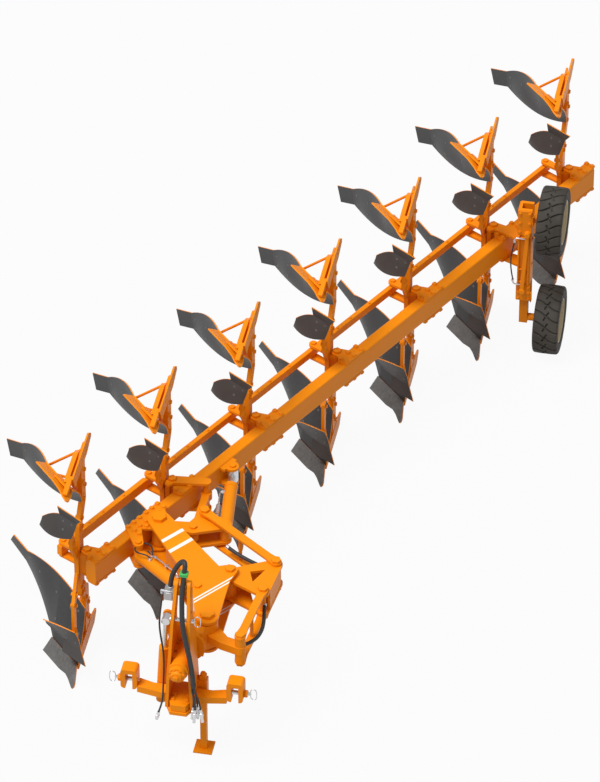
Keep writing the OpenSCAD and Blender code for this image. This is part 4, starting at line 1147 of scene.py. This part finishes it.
# Bolts of a leg: distance behind the pin and height over the mid-plane, the last two on the skimmer's stem
LEG_BOLTS = np.array([(0.014, -0.30), (0.074, -0.30), (0.020, -0.37), (0.078, -0.38), (0.150, -0.52),
                      (0.205, -0.62), (0.140, -0.70), (0.200, -0.78), (-0.150, -0.235), (-0.178, -0.33)])

# Each side of a leg: the way its bolts look, and where the faces of leg and stem lie
LEG_SIDES = ((1.0, -0.052, -0.061), (-1.0, -0.088, -0.087))

# Bolts of the beam: rows at each station and on the saddle, along and across, single ones, the plates'
# height and how far the saddle's rows lie behind the pivot
PLATE_ROWS, PLATE_SIDES = np.array([-0.055, 0.045, 0.145]), np.array([-0.030, 0.030])
SADDLE_ROWS, SADDLE_SIDES = np.array([-0.18, -0.11, -0.04, 0.04, 0.11, 0.18]), np.array([-0.032, 0.032])
SINGLE_ALONG, SINGLE_ACROSS = [PIVOT_ALONG + 0.10, PIVOT_ALONG - 0.10, 0.40], [0.185, 0.185, 0.20]
BEAM_FACE, SADDLE_BACK = 0.118, 0.020

# Bolts of the control bar between two stations, and radii of the rings of bolts on flange, bearing and wheels
RAIL_PIN, RAIL_SPANS = (-0.220, 0.120), np.array([0.30, 0.46, 0.70])
FLANGE_R, BEARING_R, NUT_RING_R = 0.128, 0.056, 0.100


def pairs(a, b):
    """All pairs of two rows of numbers, as two flat rows."""
    return (side.reshape(-1) for side in np.meshgrid(a, b, indexing="ij"))


class PLOUGH_OT_bolts(bpy.types.Operator):
    """Bolts with washers on plates, flanges, legs and wheels"""

    bl_idname = "plough.bolts"
    bl_label = "Fasten the bolts"

    def execute(self, context):
        paint = orange_enamel()
        size = sizes().bolt
        rows = (np.arange(len(BODIES)) * BODY_SPACING)[:, None] + PLATE_ROWS
        a, c = pairs(rows, BEAM_ACROSS + PLATE_SIDES)
        sa, sc = pairs(PIVOT_ALONG - SADDLE_BACK + SADDLE_ROWS, BEAM_ACROSS + SADDLE_SIDES)
        a = np.concatenate([a, sa, SINGLE_ALONG])
        c = np.concatenate([c, sc, SINGLE_ACROSS])
        top = np.concatenate([on_beam(a, c, BEAM_FACE), on_beam(a, c, -BEAM_FACE)])
        up = np.repeat([[0, 0, 1.0], [0, 0, -1.0]], len(a), 0)
        bolts("beam_bolts", "beam", top, up, size, paint)
        pins = np.array([station(i) for i in BODIES]) + RAIL_PIN
        rail = (pins[:-1, None] + (pins[1:] - pins[:-1])[:, None] * RAIL_SPANS[:, None]).reshape(-1, 2)
        rail = np.column_stack([rail, MID + np.where(np.arange(len(rail)) < 3, 0.047, 0.035)])
        bolts("control_bar_bolts", "control_bar", rail, UP, 0.010, paint)
        turn = np.arange(8) * math.pi / 4 + 0.3
        ring = np.stack([np.cos(turn), np.zeros(8), np.sin(turn)], -1)
        bolts("flange_bolts", "turnover_head", ring * FLANGE_R + (0, 0.160, MID), (0, 1.0, 0), size, paint)
        bolts("bearing_bolts", "headstock", ring * BEARING_R + (0, -0.221, MID), (0, -1.0, 0), 0.0075, paint)
        base = np.array([(x, y, 0.655) for x in (-0.056, 0.056) for y in (-0.120, -0.060)])
        bolts("base_bolts", "headstock", base, UP, size, paint)
        sides = []
        for sign in (1, -1):
            for way, face, stem in LEG_SIDES:
                x = np.where(np.arange(len(LEG_BOLTS)) < len(LEG_BOLTS) - 2, face, stem)
                places = np.stack([x, LEG_BOLTS[:, 0], MID + sign * LEG_BOLTS[:, 1]], -1)
                sides.append((places, np.tile((way, 0.0, 0.0), (len(places), 1))))
        places, normals = (np.concatenate(group) for group in zip(*sides))
        for i in BODIES:
            bolts(f"leg_bolts_{i}", f"leg_{i}", places + (*station(i), 0.0), normals, size * 0.9, paint)
        nuts = np.stack([np.full(8, 0.008), NUT_RING_R * np.cos(turn), NUT_RING_R * np.sin(turn)], -1)
        for name in ("lower", "upper"):
            centre = np.mean(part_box(f"rim_{name}"), axis=0)
            bolts(f"wheel_nuts_{name}", f"wheel_{name}", nuts + centre, (1.0, 0, 0), 0.012, bright_steel())
        return {"FINISHED"}


OPERATORS = (PLOUGH_OT_stage, PLOUGH_OT_hoses, PLOUGH_OT_link_hoses, PLOUGH_OT_cylinder_lines,
             PLOUGH_OT_column, PLOUGH_OT_paint, PLOUGH_OT_bodies, PLOUGH_OT_tyres,
             PLOUGH_OT_head_fittings, PLOUGH_OT_bolts)


class PLOUGH_PT_looks(bpy.types.Panel):
    """Colours, sizes and the steps that dress the plough"""

    bl_label = "Plough looks"
    bl_space_type = "VIEW_3D"
    bl_region_type = "UI"
    bl_category = "Plough"

    def draw(self, context):
        for group in (context.scene.plough_colours, context.scene.plough_sizes):
            for name in group.__annotations__:
                self.layout.prop(group, name)
        for operator in OPERATORS:
            self.layout.operator(operator.bl_idname)


CLASSES = (PloughColours, PloughSizes, *OPERATORS, PLOUGH_PT_looks)


def register():
    for cls in CLASSES:
        bpy.utils.register_class(cls)
    bpy.types.Scene.plough_colours = PointerProperty(type=PloughColours)
    bpy.types.Scene.plough_sizes = PointerProperty(type=PloughSizes)


def unregister():
    del bpy.types.Scene.plough_sizes
    del bpy.types.Scene.plough_colours
    for cls in reversed(CLASSES):
        bpy.utils.unregister_class(cls)


def main():
    register()
    bpy.ops.plough.stage()
    bpy.ops.plough.hoses()
    bpy.ops.plough.link_hoses()
    bpy.ops.plough.cylinder_lines()
    bpy.ops.plough.column()
    bpy.ops.plough.paint()
    bpy.ops.plough.bodies()
    bpy.ops.plough.tyres()
    bpy.ops.plough.head_fittings()
    bpy.ops.plough.bolts()


if __name__ == "__main__":
    main()
